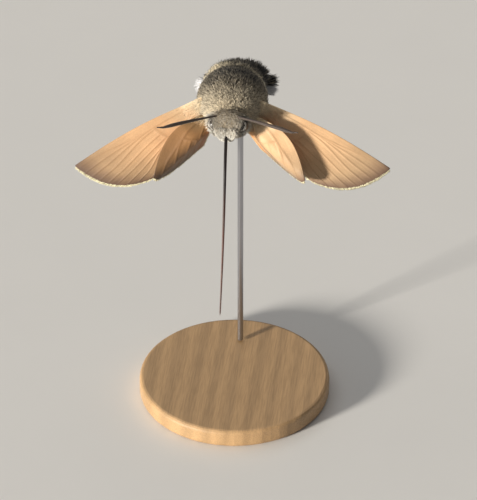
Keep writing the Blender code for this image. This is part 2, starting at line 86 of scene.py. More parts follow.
ABDOMEN_START = np.array((0.0, -3.2, -0.3))
ABDOMEN_LENGTH = 16.5
ABDOMEN_DROP = (math.radians(20), math.radians(35))
ABDOMEN_SWAY = 0.6
ABDOMEN_HALF_WIDTH = (3.4, 4.4, 4.5, 4.0, 3.1, 1.9)
ABDOMEN_HALF_DEPTH = (3.0, 3.5, 3.5, 3.2, 2.6, 1.6)

WING_FACE = math.radians(35)
WING_BANK = math.radians(3.4)
FOREWING_ROOT = np.array((4.0, 2.6, 1.3))
FOREWING_DROOP = math.radians(26)
HINDWING_ROOT = np.array((3.4, 3.7, -0.9))
HINDWING_DROOP = math.radians(43)

# The cream band stands this far behind the middle of the thorax, and slants forward down its flanks
BAND_AHEAD = -3.2
BAND_SLANT = 0.5

# The black of the side tufts begins at a slightly different height on each flank, as if the abdomen were rolled a
# little, so that one flank shows more of its black tufts
TUFT_ROLL = 2
TUFT_BLACK = -2

# Painted shade: the right wings' undersides are darkened and browned, standing in for the shade they lie in; the
# forewing's tint, then the hindwing's
PAINTED_WING_SHADE = {"left": ((1.0, 1.0, 1.0), (1.0, 1.0, 1.0)), "right": ((0.84, 0.8, 0.76), (0.42, 0.34, 0.24))}

LEG_JOINTS = {
    "front": ((1.1, 2.6, -3.7), (1.2, 2.0, -4.9), (1.8, 0.2, -5.8), (1.5, -2.2, -6.9), (1.6, -4.8, -7.8)),
    "middle": ((2, 0, -3.9), (2.5, -0.4, -5.5), (3.6, -2.4, -6.5), (3, -5.6, -7.6), (2.8, -8.6, -8.9)),
    "hind": ((1.5, -2.4, -3.7), (1.5, -3, -5.5), (1.6, -6.3, -6.6), (1.5, -10.4, -8.7), (1.6, -14.2, -10.6)),
}

# Sections of a tuft: how far along it each stands and its share of the full width
FINE_RINGS = ((0.0, 0.75), (0.4, 1.0), (0.78, 0.6))
LOCK_RINGS = ((0.0, 0.6), (0.2, 0.9), (0.45, 1.0), (0.7, 0.85), (0.88, 0.55))
COAT_LIMIT = 12000
BAKE_PATCH = 0.003


def tone(red, green, blue):
    """Linear colour of 0 to 255 screen values."""
    return tuple((value / 255) ** 2.2 for value in (red, green, blue))


def size(name, description, default):
    """A length property, whose default is given in millimetres."""
    return FloatProperty(name=name, description=description, default=default * MM, min=0, unit="LENGTH", precision=5)


def colour(name, description, *default):
    return FloatVectorProperty(
        name=name, description=description, default=tone(*default), size=3, min=0, max=1, subtype="COLOR"
    )


class HawkMothSizes(bpy.types.PropertyGroup):
    """Sizes of what the render adds to the solids."""

    thorax_depth: size("Thorax coat", "Depth of the coat on the thorax", 0.75)
    head_depth: size("Head coat", "Depth of the coat on the head", 0.45)
    abdomen_depth: size("Abdomen coat", "Depth of the coat on the abdomen", 0.5)
    thorax_hair: size("Thorax hair", "Length of the hair on the thorax", 1.15)
    head_hair: size("Head hair", "Length of the hair on the head", 0.7)
    abdomen_hair: size("Abdomen scales", "Length of the scales on the abdomen", 0.95)
    hair_width: size("Hair width", "Width of one tuft of hair", 0.11)
    eye_radius: size("Eye radius", "Radius of each eye", 1.06)
    membrane: size("Wing membrane", "Thickness of the wings between their veins", 0.1)
    vein: size("Wing veins", "How far each vein stands off the membrane", 0.06)
    fringe: size("Wing fringe", "Length of the scales along the hind edges of the wings", 0.6)
    antenna_radius: size("Antenna radius", "Radius of each antenna near its root", 0.16)
    antenna_club: size("Antenna club", "Radius of each antenna at its thickest", 0.28)
    proboscis_radius: size("Proboscis radius", "Radius of the proboscis at its root", 0.25)
    thorax_density: IntProperty(
        name="Thorax density", description="Tufts to the square millimetre of the thorax", default=122, min=1
    )
    abdomen_density: IntProperty(
        name="Abdomen density", description="Tufts to the square millimetre of the abdomen", default=52, min=1
    )
    head_density: IntProperty(
        name="Head density", description="Tufts to the square millimetre of the head", default=185, min=1
    )


class HawkMothColours(bpy.types.PropertyGroup):
    """Colours of the coat, wings and stand."""

    thorax_front: colour("Thorax, front", "Hair of the thorax by the head", 228, 212, 184)
    thorax_middle: colour("Thorax, middle", "Hair on the middle of the thorax", 98, 86, 66)
    thorax_dark: colour("Thorax, dark", "Darkest hair of the thorax", 40, 34, 26)
    thorax_band: colour("Thorax band", "Band round the rear of the thorax", 252, 236, 202)
    thorax_under: colour("Thorax, under", "Hair below the thorax", 214, 208, 196)
    wing_base: colour("Wing base", "Hair where the wings leave the thorax", 232, 212, 178)
    head_crown: colour("Head crown", "Hair on top of the head", 188, 170, 142)
    head_face: colour("Face", "Scales of the face and palps", 252, 246, 234)
    abdomen_back: colour("Abdomen, back", "Scales along the back of the abdomen", 84, 74, 58)
    abdomen_under: colour("Abdomen, under", "Scales below the abdomen", 150, 128, 102)
    tuft_white: colour("White tufts", "White side tufts of the abdomen", 240, 240, 242)
    tuft_black: colour("Black tufts", "Black side tufts and tail fan", 16, 14, 13)
    hair_tip: colour("Hair tips", "Pale tips of the longer hair", 248, 232, 202)
    eye_rim: colour("Eye rim", "Colour of the eyes towards their rims", 66, 50, 40)
    eye: colour("Eyes", "Compound eyes", 38, 26, 20)
    proboscis: colour("Proboscis", "Proboscis at its root", 24, 15, 13)
    proboscis_end: colour("Proboscis end", "Proboscis towards its tip", 92, 58, 48)
    antenna: colour("Antennae", "Upper side of the antennae", 62, 48, 40)
    antenna_under: colour("Antennae, under", "Paler underside of the antennae", 150, 130, 112)
    wing_peach: colour("Wing underside", "Underside of the wings", 228, 184, 138)
    wing_pale: colour("Wing underside, base", "Underside of the wings by the body", 226, 202, 164)
    wing_inner: colour("Hindwing underside, inner", "Orange hind part of the hindwings' underside", 240, 150, 72)
    wing_outer: colour("Wing underside, outer", "Outer part of the wings' underside", 184, 152, 116)
    wing_margin: colour("Wing margin", "Margins of the wings", 112, 88, 72)
    wing_fringe: colour("Wing fringe", "Scales along the wings' edges", 232, 222, 184)
    forewing_top: colour("Forewing, upper side", "Upper side of the forewings", 112, 100, 86)
    forewing_line: colour("Forewing lines", "Dark lines across the forewings", 44, 37, 31)
    hindwing_top: colour("Hindwing, upper side", "Upper side of the hindwings", 232, 138, 52)
    leg: colour("Legs", "Scales on the legs", 172, 158, 136)
    wood: colour("Base wood", "Wood of the stand's base", 186, 150, 108)
    steel: colour("Rod steel", "Steel of the stand's rod", 176, 176, 180)
    floor: colour("Floor", "Floor below the stand", 226, 224, 220)


def sizes():
    return bpy.context.scene.hawk_moth_sizes


def colours():
    return bpy.context.scene.hawk_moth_colours


def pick(name):
    """A colour property as an array."""
    return np.array(getattr(colours(), name))


# Shapes shared with the solids


def to_world(points):
    points = np.asarray(points, float)
    out = np.empty_like(points)
    out[..., 0] = points[..., 0]
    out[..., 1] = THORAX[1] - points[..., 1]
    out[..., 2] = THORAX[2] + points[..., 2]
    return out * MM


def to_moth(points):
    """The other way: world metres to places on the moth."""
    points = np.asarray(points, float) / MM
    out = np.empty_like(points)
    out[..., 0] = points[..., 0]
    out[..., 1] = THORAX[1] - points[..., 1]
    out[..., 2] = points[..., 2] - THORAX[2]
    return out


def ramp(value):
    value = np.clip(value, 0, 1)
    return value * value * (3 - 2 * value)


def unit(vectors):
    return vectors / np.maximum(np.linalg.norm(vectors, axis=-1, keepdims=True), 1e-9)


def profile(values, t):
    """Reads evenly spaced values at t, from 0 at the first to 1 at the last, along a smooth curve."""
    values = np.asarray(values, float)
    place = np.clip(t, 0, 1) * (len(values) - 1)
    at = np.minimum(place.astype(int), len(values) - 2)
    before = values[np.maximum(at - 1, 0)]
    after = values[np.minimum(at + 2, len(values) - 1)]
    here, following = values[at], values[at + 1]
    f = place - at
    rise = (following - before) / 2
    fall = (after - here) / 2
    step = here - following
    return here + f * (rise + f * (-3 * step - 2 * rise - fall + f * (2 * step + rise + fall)))


def abdomen_drop(t):
    return ABDOMEN_DROP[0] + (ABDOMEN_DROP[1] - ABDOMEN_DROP[0]) * t


def abdomen_middle(t):
    """Centre line of the abdomen, from 0 inside the thorax to 1 at the tail."""
    t = np.asarray(t, float)
    turn = ABDOMEN_DROP[1] - ABDOMEN_DROP[0]
    ahead = -(np.sin(abdomen_drop(t)) - math.sin(ABDOMEN_DROP[0])) / turn
    up = -(math.cos(ABDOMEN_DROP[0]) - np.cos(abdomen_drop(t))) / turn
    side = -ABDOMEN_SWAY * np.sin(math.pi * t)
    return ABDOMEN_START + np.stack([side, ahead * ABDOMEN_LENGTH, up * ABDOMEN_LENGTH], -1)


def abdomen_axes(t):
    """Directions across, over and along the abdomen at t."""
    drop = abdomen_drop(np.asarray(t, float))
    zero = np.zeros_like(drop)
    across = np.stack([zero + 1, zero, zero], -1)
    over = np.stack([zero, -np.sin(drop), np.cos(drop)], -1)
    along = np.stack([zero, -np.cos(drop), -np.sin(drop)], -1)
    return across, over, along


def abdomen_surface(t, turn, grow=0.0):
    across, over, _ = abdomen_axes(t)
    width = (profile(ABDOMEN_HALF_WIDTH, t) + grow) * np.cos(turn)
    depth = (profile(ABDOMEN_HALF_DEPTH, t) + grow) * np.sin(turn)
    return abdomen_middle(t) + across * width[..., None] + over * depth[..., None]


ABDOMEN_T = np.linspace(0, 1, 200)
ABDOMEN_LINE = abdomen_middle(ABDOMEN_T)


def abdomen_t(ahead):
    """How far along the abdomen a place stands."""
    return np.interp(-ahead, -ABDOMEN_LINE[:, 1], ABDOMEN_T)


def body_axis(ahead):
    """Side and up places of the body's middle line at each distance ahead."""
    side = np.interp(-ahead, -ABDOMEN_LINE[:, 1], ABDOMEN_LINE[:, 0])
    up = np.interp(-ahead, -ABDOMEN_LINE[:, 1], ABDOMEN_LINE[:, 2])
    return np.where(ahead < ABDOMEN_START[1], side, 0), np.where(ahead < ABDOMEN_START[1], up, 0)


def body_unwrap(points):
    """Unwraps the body round its own long axis, from the tail at 0 to the palps at 1."""
    side, up = body_axis(points[:, 1])
    turn = np.arctan2(points[:, 2] - up, points[:, 0] - side) / (2 * math.pi) + 0.5
    along = (points[:, 1] + 26) / 37
    return np.stack([turn, along], -1)


# Meshes and objects


def finish_piece(obj, slot, *nodes):
    """Rides a finished piece on the moth's one body and hides the solids it stands in for."""
    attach(obj, "root")
    if nodes:
        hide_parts(*nodes)
    return obj


def add_object(name, bm, finish):
    """Makes a smooth object of the bmesh, with its faces pointing out."""
    bmesh.ops.recalc_face_normals(bm, faces=bm.faces)
    if bm.calc_volume(signed=True) < 0:
        bmesh.ops.reverse_faces(bm, faces=bm.faces)
    mesh = bpy.data.meshes.new(name)
    bm.to_mesh(mesh)
    bm.free()
    mesh.shade_smooth()
    obj = bpy.data.objects.new(name, mesh)
    bpy.context.scene.collection.objects.link(obj)
    mesh.materials.append(finish)
    return obj


def set_points(mesh, name, values, kind="FLOAT"):
    attribute = mesh.attributes.new(name, kind, "POINT")
    field = "color" if kind == "FLOAT_COLOR" else "value"
    attribute.data.foreach_set(field, np.asarray(values, np.float32).ravel())


def paint(mesh, rgb):
    rgba = np.concatenate([rgb, np.ones((len(rgb), 1))], 1)
    set_points(mesh, "coat", rgba, "FLOAT_COLOR")


def tufts(name, finish, roots, aims, overs, lengths, widths, bends, shades, patches, rings=FINE_RINGS, flat=0.4):
    """One mesh of closed, tapered tufts.

    Each has a root, an aim, a side that faces over it, a length, a width, a bend towards its tip, a pair
    of colours for its root and tip, and its root's place on the skin's unwrap.
    """
    count = len(roots)
    across = unit(np.cross(aims, overs))
    over = np.cross(across, aims)
    reach = np.array([ring[0] for ring in rings])
    wide = np.array([ring[1] for ring in rings])
    along = lengths[:, None] * reach
    middle = roots[:, None] + aims[:, None] * along[..., None]
    middle += bends[:, None] * (lengths[:, None] * reach**2)[..., None]
    span = (widths[:, None] * wide)[..., None]
    half = across[:, None] * span / 2
    rise = over[:, None] * span * flat
    corners = np.stack([middle - half, middle + half, middle + rise], 2).reshape(count, -1, 3)
    tip = roots + (aims + bends) * lengths[:, None]
    points = to_world(np.concatenate([corners, tip[:, None]], 1))

    last = 3 * len(rings)
    faces = [(0, 1, 2)]
    for ring in range(len(rings) - 1):
        for i in range(3):
            a, b = 3 * ring + i, 3 * ring + (i + 1) % 3
            faces += [(a, a + 3, b), (b, a + 3, b + 3)]
    faces += [(last - 3 + i, last, last - 3 + (i + 1) % 3) for i in range(3)]
    faces = np.array(faces)
    first = points[0][faces]
    if np.einsum("ij,ij->i", first[:, 0] - points[0, 0], np.cross(first[:, 1] - points[0, 0], first[:, 2] - points[0, 0])).sum() < 0:
        faces = faces[:, ::-1]
    index = (faces[None] + (np.arange(count) * (last + 1))[:, None, None]).reshape(-1)

    mesh = bpy.data.meshes.new(name)
    mesh.vertices.add(count * (last + 1))
    mesh.vertices.foreach_set("co", points.astype(np.float32).ravel())
    mesh.loops.add(len(index))
    mesh.loops.foreach_set("vertex_index", index.astype(np.int32))
    mesh.polygons.add(len(index) // 3)
    mesh.polygons.foreach_set("loop_start", np.arange(0, len(index), 3, dtype=np.int32))
    mesh.update(calc_edges=True)
    mesh.shade_smooth()

    spread = np.append(np.repeat(reach, 3), 1.0)
    lean = np.append(np.tile((-0.5, 0.5, 0.0), len(rings)), 0.0)
    offset = np.stack([lean, spread - 0.5], -1) * BAKE_PATCH
    patch = np.clip(patches, 0.002, 0.998)[:, None] + offset
    layer = mesh.uv_layers.new(name="OFBake")
    layer.data.foreach_set("uv", patch.reshape(-1, 2)[index].astype(np.float32).ravel())
    fade = (spread**1.3)[None, :, None]
    paint(mesh, (shades[:, None, 0] * (1 - fade) + shades[:, None, 1] * fade).reshape(-1, 3))
    set_points(mesh, "reach", np.tile(spread, count))
    obj = bpy.data.objects.new(name, mesh)
    bpy.context.scene.collection.objects.link(obj)
    mesh.materials.append(finish)
    return obj


class Coat:
    """Collects tufts, then makes them into pieces that each stay small enough."""

    def __init__(self, seed):
        self.draw = np.random.default_rng(seed)
        self.rows = []

    def add(self, roots, aims, overs, lengths, widths, bends, root_shades, tip_shades, patches):
        shades = np.stack([root_shades, tip_shades], 1)
        self.rows.append((roots, unit(aims), overs, lengths, widths, bends, np.clip(shades, 0, 1), patches))

    def make(self, name, finish, slot, *nodes, rings=FINE_RINGS, flat=0.4, limit=COAT_LIMIT):
        columns = [np.concatenate(column) for column in zip(*self.rows)]
        count = len(columns[0])
        pieces = math.ceil(count / limit)
        for number in range(pieces):
            share = slice(count * number // pieces, count * (number + 1) // pieces)
            label = name if pieces == 1 else f"{name}_{number + 1}"
            obj = tufts(label, finish, *[column[share] for column in columns], rings=rings, flat=flat)
            finish_piece(obj, slot, *nodes)


class Surface:
    """Triangles of a mesh as places on the moth, to root tufts on."""

    def __init__(self, obj):
        mesh = obj.data
        mesh.calc_loop_triangles()
        points = np.empty(len(mesh.vertices) * 3)
        mesh.vertices.foreach_get("co", points)
        self.points = to_moth(points.reshape(-1, 3))
        normals = np.empty(len(mesh.vertices) * 3)
        mesh.vertices.foreach_get("normal", normals)
        self.normals = normals.reshape(-1, 3) * (1, -1, 1)
        corners = np.empty(len(mesh.loop_triangles) * 3, int)
        mesh.loop_triangles.foreach_get("vertices", corners)
        self.corners = corners.reshape(-1, 3)

    def scatter(self, density, draw):
        """Roots and normals spread by area, with the given tufts to the square millimetre at each place."""
        a, b, c = (self.points[self.corners[:, i]] for i in range(3))
        area = np.linalg.norm(np.cross(b - a, c - a), axis=1) / 2
        share = area * density((a + b + c) / 3)
        total = np.cumsum(share)
        count = int(total[-1])
        chosen = np.searchsorted(total, (np.arange(count) + draw.random(count)) / count * total[-1])
        chosen = draw.permutation(np.minimum(chosen, len(share) - 1))
        first = np.sqrt(draw.random(count))[:, None]
        second = draw.random(count)[:, None]
        weights = (1 - first, first * (1 - second), first * second)
        roots = sum(self.points[self.corners[chosen, i]] * weights[i] for i in range(3))
        normals = sum(self.normals[self.corners[chosen, i]] * weights[i] for i in range(3))
        return roots, unit(normals)


def sheet(columns, rows, place):
    """A grid whose points are put in place by a function of their shares across it."""
    bm = bmesh.new()
    bmesh.ops.create_grid(bm, x_segments=columns, y_segments=rows, size=0.5)
    u = np.array([vert.co.x + 0.5 for vert in bm.verts])
    v = np.array([vert.co.y + 0.5 for vert in bm.verts])
    for vert, point in zip(bm.verts, place(u, v)):
        vert.co = point
    return bm, u, v


def tube(name, finish, path, radius, steps, sides):
    """A closed tube: a grid rolled round a path, joined along its seam and filled at its ends."""
    t = np.linspace(0, 1, steps + 1)
    line = to_world(path(t))
    along = unit(np.gradient(line, axis=0))
    over = np.empty_like(along)
    over[0] = np.cross(along[0], (1, 0, 0))
    for step in range(1, steps + 1):
        over[step] = over[step - 1] - along[step] * over[step - 1].dot(along[step])
        over[step] /= np.linalg.norm(over[step])
    over[0] /= np.linalg.norm(over[0])
    across = np.cross(over, along)

    def place(u, v):
        step = np.round(u * steps).astype(int)
        turn = v * 2 * math.pi
        reach = (radius(u, turn) * MM)[:, None]
        return line[step] + (across[step] * np.cos(turn)[:, None] + over[step] * np.sin(turn)[:, None]) * reach

    bm, u, v = sheet(steps, sides, place)
    layer = bm.verts.layers.float.new("along")
    for vert, share in zip(bm.verts, u):
        vert[layer] = share
    bmesh.ops.remove_doubles(bm, verts=bm.verts, dist=1e-7)
    bmesh.ops.holes_fill(bm, edges=[edge for edge in bm.edges if edge.is_boundary], sides=0)
    return add_object(name, bm, finish)


# Materials


class Nodes:
    """Builds one Principled material out of nodes."""

    def __init__(self, name, roughness=0.6, **values):
        self.material = bpy.data.materials.new(name)
        self.material.use_nodes = True
        self.tree = self.material.node_tree
        self.shader = self.tree.nodes["Principled BSDF"]
        self.shader.inputs["Roughness"].default_value = roughness
        for socket, value in values.items():
            self.shader.inputs[socket.replace("_", " ")].default_value = value

    def link(self, source, socket):
        if hasattr(source, "is_output"):
            self.tree.links.new(source, socket)
        elif isinstance(source, (int, float)):
            socket.default_value = source
        else:
            socket.default_value = (*source, 1) if len(source) == 3 and len(socket.default_value) == 4 else source

    def node(self, kind, output=0, settings=(), **inputs):
        made = self.tree.nodes.new("ShaderNode" + kind)
        for key, value in dict(settings).items():
            setattr(made, key, value)
        for key, value in inputs.items():
            index = int(key[1:]) if key[0] == "i" and key[1:].isdigit() else key.replace("_", " ")
            self.link(value, made.inputs[index])
        return made.outputs[output]

    def place(self, scale=(1, 1, 1), turn=(0, 0, 0), move=(0, 0, 0)):
        where = self.node("TexCoord", "Object")
        return self.node("Mapping", Vector=where, Scale=scale, Rotation=turn, Location=move)

    def read(self, name, output="Fac"):
        return self.node("Attribute", output, {"attribute_name": name})

    def plan(self, name, scale):
        where = self.node("UVMap", 0, {"uv_map": name})
        return self.node("Mapping", Vector=where, Scale=scale)

    def noise(self, vector, scale, detail=3.0, roughness=0.55):
        return self.node("TexNoise", "Fac", Vector=vector, Scale=scale, Detail=detail, Roughness=roughness)

    def sum(self, kind, a, b=0.0, c=0.0):
        return self.node("Math", 0, {"operation": kind}, i0=a, i1=b, i2=c)

    def mix(self, share, a, b, blend="MIX"):
        made = self.tree.nodes.new("ShaderNodeMix")
        made.data_type = "RGBA"
        made.blend_type = blend
        self.link(share, made.inputs["Factor"])
        self.link(a, made.inputs[6])
        self.link(b, made.inputs[7])
        return made.outputs[2]

    def stops(self, share, *stops):
        made = self.tree.nodes.new("ShaderNodeValToRGB")
        self.link(share, made.inputs[0])
        ends = made.color_ramp.elements
        while len(ends) < len(stops):
            ends.new(0.5)
        for end, (position, rgb) in zip(ends, stops):
            end.position = position
            end.color = (*rgb, 1) if hasattr(rgb, "__len__") else (rgb, rgb, rgb, 1)
        return made.outputs[0]

    def bump(self, height, distance, strength=1.0):
        normal = self.node("Bump", 0, Height=height, Distance=distance * MM, Strength=strength)
        self.tree.links.new(normal, self.shader.inputs["Normal"])

    def done(self, colour_from, roughness=None):
        self.link(colour_from, self.shader.inputs["Base Color"])
        if roughness is not None:
            self.link(roughness, self.shader.inputs["Roughness"])
        return self.material


def coat_material(name, roughness=0.62, sheen=0.1):
    """Hair or scales: the piece's own colours, uneven from tuft to tuft, with a fine streak."""
    nodes = Nodes(name, roughness, Sheen_Weight=sheen, Sheen_Roughness=0.5, Specular_IOR_Level=0.3)
    patchy = nodes.noise(nodes.place(), 900, 2)
    fine = nodes.noise(nodes.place(), 9000, 2)
    shade = nodes.stops(nodes.sum("ADD", nodes.sum("MULTIPLY", patchy, 0.5), nodes.sum("MULTIPLY", fine, 0.5)),
                        (0.3, 0.72), (0.7, 1.0))
    nodes.bump(fine, 0.02, 0.5)
    return nodes.done(nodes.mix(1.0, nodes.read("coat", "Color"), shade, "MULTIPLY"))


def skin_material():
    nodes = Nodes("skin_under_fur", 0.85)
    grain = nodes.noise(nodes.place(), 5000, 4)
    nodes.bump(grain, 0.12, 1.0)
    shade = nodes.stops(grain, (0.3, 0.35), (0.7, 0.8))
    return nodes.done(nodes.mix(1.0, nodes.read("coat", "Color"), shade, "MULTIPLY"))


def eye_material():
    """A glossy eye of fine facets, with a painted pseudopupil: dark in the middle, along the gaze, and browner
    towards its rim.
    """
    nodes = Nodes("compound_eye", 0.3, Coat_Weight=0.3, Coat_Roughness=0.12)
    facets = nodes.node("TexVoronoi", "Distance", {"feature": "F1"}, Vector=nodes.place(), Scale=14000.0)
    cloud = nodes.noise(nodes.place(), 1400, 3)
    nodes.bump(facets, 0.008, 0.4)
    dark, rim = pick("eye"), pick("eye_rim")
    # Painted pseudopupil: a dark spot along the gaze and a dark ring round it, browner beyond
    shade = nodes.stops(nodes.read("gap"), (0.0, dark * 0.5), (0.2, dark * 0.7), (0.3, rim * 0.7), (0.36, dark * 1.2),
                        (0.5, rim), (1.0, rim * 0.6))
    return nodes.done(nodes.mix(1.0, shade, nodes.stops(cloud, (0.35, 0.6), (0.65, 1.0)), "MULTIPLY"))


def proboscis_material():
    nodes = Nodes("proboscis_horn", 0.38, Coat_Weight=0.2, Coat_Roughness=0.25)
    along = nodes.read("along")
    rings = nodes.node("Math", 0, {"operation": "SINE"}, i0=nodes.sum("MULTIPLY", along, 1300.0))
    cloud = nodes.noise(nodes.place(), 2500, 3)
    nodes.bump(rings, 0.004, 0.3)
    shade = nodes.stops(along, (0.0, pick("proboscis")), (0.3, pick("proboscis")), (0.62, pick("proboscis_end")),
                        (1.0, pick("proboscis_end") * 0.8))
    return nodes.done(nodes.mix(1.0, shade, nodes.stops(cloud, (0.3, 0.6), (0.7, 1.0)), "MULTIPLY"))


def antenna_material():
    nodes = Nodes("antenna_rings", 0.6, Sheen_Weight=0.2)
    cloud = nodes.noise(nodes.place(), 6000, 3)
    nodes.bump(cloud, 0.02, 0.7)
    return nodes.done(nodes.mix(1.0, nodes.read("coat", "Color"), nodes.stops(cloud, (0.3, 0.6), (0.7, 1.0)), "MULTIPLY"))


def wing_material(name, top, pattern, inner, painted_shade):
    """A scaled wing: each face has its own colours, with streaks along the veins and fine rows of scales.

    Inner is the share of orange on the underside's hind part, and the last argument is a tint of painted shade that
    darkens the underside.
    """
    nodes = Nodes(name, 0.55, Sheen_Weight=0.15, Specular_IOR_Level=0.35)
    plan = nodes.node("SeparateXYZ", 0, Vector=nodes.plan("WingPlan", (1, 1, 1)))
    across = plan.node.outputs[1]
    wave = nodes.noise(nodes.plan("WingPlan", (3, 9, 1)), 1.0, 2)
    streaks = nodes.noise(nodes.plan("WingPlan", (2.5, 150, 1)), 1.0, 3)
    scales = nodes.node("TexVoronoi", "Distance", Vector=nodes.place(), Scale=8000.0)
    cloud = nodes.noise(nodes.place(), 420, 3)
    vein = nodes.read("vein")
    far = nodes.sum("ADD", plan, nodes.sum("MULTIPLY", nodes.sum("SUBTRACT", wave, 0.5), 0.1))

    under = nodes.stops(far, (0.1, pick("wing_pale")), (0.34, pick("wing_peach")), (0.56, pick("wing_peach")),
                        (0.86, pick("wing_outer")), (0.99, pick("wing_margin")))
    under = nodes.mix(nodes.stops(across, (0.62, 0.0), (0.95, inner)), under, pick("wing_inner"))
    # Painted shade: the underside is multiplied by this side's shade tint
    under = nodes.mix(1.0, under, painted_shade, "MULTIPLY")
    upper = pattern(nodes, plan, across, far, top)
    shade = nodes.mix(nodes.read("upper"), under, upper)
    shade = nodes.mix(1.0, shade, nodes.stops(streaks, (0.3, 0.8), (0.7, 1.0)), "MULTIPLY")
    shade = nodes.mix(1.0, shade, nodes.stops(cloud, (0.3, 0.86), (0.7, 1.0)), "MULTIPLY")
    shade = nodes.mix(1.0, shade, nodes.stops(scales, (0.0, 0.82), (0.6, 1.0)), "MULTIPLY")
    shade = nodes.mix(nodes.sum("MULTIPLY", vein, 0.22), shade, nodes.mix(1.0, shade, (0.6, 0.5, 0.42), "MULTIPLY"))
    nodes.bump(nodes.sum("ADD", scales, nodes.sum("MULTIPLY", streaks, 1.5)), 0.02, 0.6)
    return nodes.done(shade)


def forewing_pattern(nodes, along, across, far, top):
    """Grey-brown with two dark wavy lines, a dark dot at the end of the cell and a darker margin."""
    base, line = pick(top), pick("forewing_line")
    shade = nodes.stops(far, (0.0, base * 0.6), (0.26, base), (0.3, line), (0.335, base * 1.1), (0.6, base * 1.1),
                        (0.64, line), (0.68, base), (0.84, base * 0.8), (0.98, line))
    aside = nodes.sum("MULTIPLY", nodes.sum("SUBTRACT", across, 0.42), 2.2)
    on = nodes.sum("MULTIPLY", nodes.sum("SUBTRACT", along, 0.45), 6.0)
    distance = nodes.sum("ADD", nodes.sum("MULTIPLY", aside, aside), nodes.sum("MULTIPLY", on, on))
    return nodes.mix(nodes.stops(distance, (0.004, 1.0), (0.012, 0.0)), shade, line)


def hindwing_pattern(nodes, along, across, far, top):
    base = pick(top)
    return nodes.stops(far, (0.0, base * 0.5), (0.15, base), (0.72, base), (0.9, pick("wing_margin")))


def leg_material():
    nodes = Nodes("leg_scales", 0.65, Sheen_Weight=0.2)
    scales = nodes.node("TexVoronoi", "Distance", Vector=nodes.place((1, 1, 0.4)), Scale=9000.0)
    cloud = nodes.noise(nodes.place(), 1200, 3)
    nodes.bump(scales, 0.02, 0.7)
    leg = pick("leg")
    return nodes.done(nodes.stops(cloud, (0.3, leg * 0.55), (0.7, leg)))


def wood_material():
    """Pale straight-grained wood, with fine pores and a satin finish."""
    nodes = Nodes("pale_wood", 0.45, Coat_Weight=0.15, Coat_Roughness=0.3)
    where = nodes.place((22, 3, 22))
    warp = nodes.noise(where, 8.0, 3)
    rings = nodes.node("TexWave", "Fac", {"wave_type": "BANDS", "bands_direction": "X"}, Vector=nodes.place((1, 0.06, 1)),
                       Scale=95.0, Distortion=5.0, Detail=3.0, Detail_Scale=1.4)
    pores = nodes.noise(nodes.place((1, 0.05, 1)), 5200, 3)
    wood = pick("wood")
    shade = nodes.stops(nodes.sum("ADD", nodes.sum("MULTIPLY", rings, 0.6), nodes.sum("MULTIPLY", warp, 0.4)),
                        (0.15, wood * 0.84), (0.55, wood), (0.9, wood * 1.08))
    nodes.bump(pores, 0.03, 0.4)
    return nodes.done(nodes.mix(1.0, shade, nodes.stops(pores, (0.35, 0.8), (0.6, 1.0)), "MULTIPLY"),
                      nodes.stops(pores, (0.3, 0.6), (0.7, 0.38)))


def steel_material():
    nodes = Nodes("brushed_steel", 0.32, Metallic=1.0)
    brush = nodes.noise(nodes.place((1, 1, 0.02)), 16000, 2)
    nodes.bump(brush, 0.006, 0.5)
    steel = pick("steel")
    return nodes.done(nodes.stops(brush, (0.3, steel * 0.8), (0.7, steel)), nodes.stops(brush, (0.3, 0.42), (0.7, 0.26)))


def floor_material():
    nodes = Nodes("studio_floor", 0.8)
    grain = nodes.noise(nodes.place(), 60, 3)
    floor = pick("floor")
    return nodes.done(nodes.stops(grain, (0.3, floor * 0.985), (0.7, floor)))


# The coat's markings and lie


def within(value, low, high, soft):
    return ramp((value - low) / soft + 0.5) * (1 - ramp((value - high) / soft + 0.5))


def blend(base, over, share):
    return base + (over - base) * np.asarray(share)[..., None]


def thorax_rim(points):
    """How far ahead of the middle of the cream band each place is, and its share of the band's colour."""
    side, ahead, up = points.T
    rim = ahead - BAND_AHEAD - BAND_SLANT * np.maximum(4.2 - up, 0) + 0.45 * ramp(-side / 3)
    return rim, within(rim, -0.5 - 0.3 * ramp(abs(side) / 4), 0.3, 0.22) * ramp((up + 0.6) / 1.0)


def thorax_shade(points):
    """Colours of the thorax, from the pale front to the cream band round its rear."""
    side, ahead, up = points.T
    shade = np.repeat(pick("thorax_middle")[None], len(points), 0)
    shade = blend(shade, pick("thorax_front"), ramp((ahead - 2.0 + abs(side) * 0.4) / 3.2))
    shade = blend(shade, pick("thorax_dark"), ramp((2.2 - ahead) / 2.4) * ramp((4.6 - abs(side - 0.4)) / 2.5) * 0.95)
    bar = within(ahead, -1.7, -1.1, 0.3) * within(side, -0.9, 1.5, 0.8) * (up > 0)
    shade = blend(shade, pick("hair_tip"), bar * 0.6)
    shade = shade * (1 - 0.55 * within(ahead, -0.8, 0.3, 0.5) * within(side, -1.6, 2.2, 1.0) * (up > 0))[:, None]
    shade = blend(shade, pick("thorax_under"), ramp((-1.6 - up) / 2.2))
    rim, band = thorax_rim(points)
    shade = blend(shade, pick("thorax_band"), band * (0.7 + 0.3 * ramp(abs(side) / 4)))
    shade = blend(shade, pick("thorax_dark") * 0.6, ramp((-0.9 - rim) / 0.4) * ramp((up + 1.5) / 1.5))
    base = np.exp(-((ahead - 2.4) / 1.9) ** 2 - ((up - 0.9) / 1.5) ** 2) * ramp((abs(side) - 3.5) / 0.9)
    return blend(shade, pick("wing_base"), base)


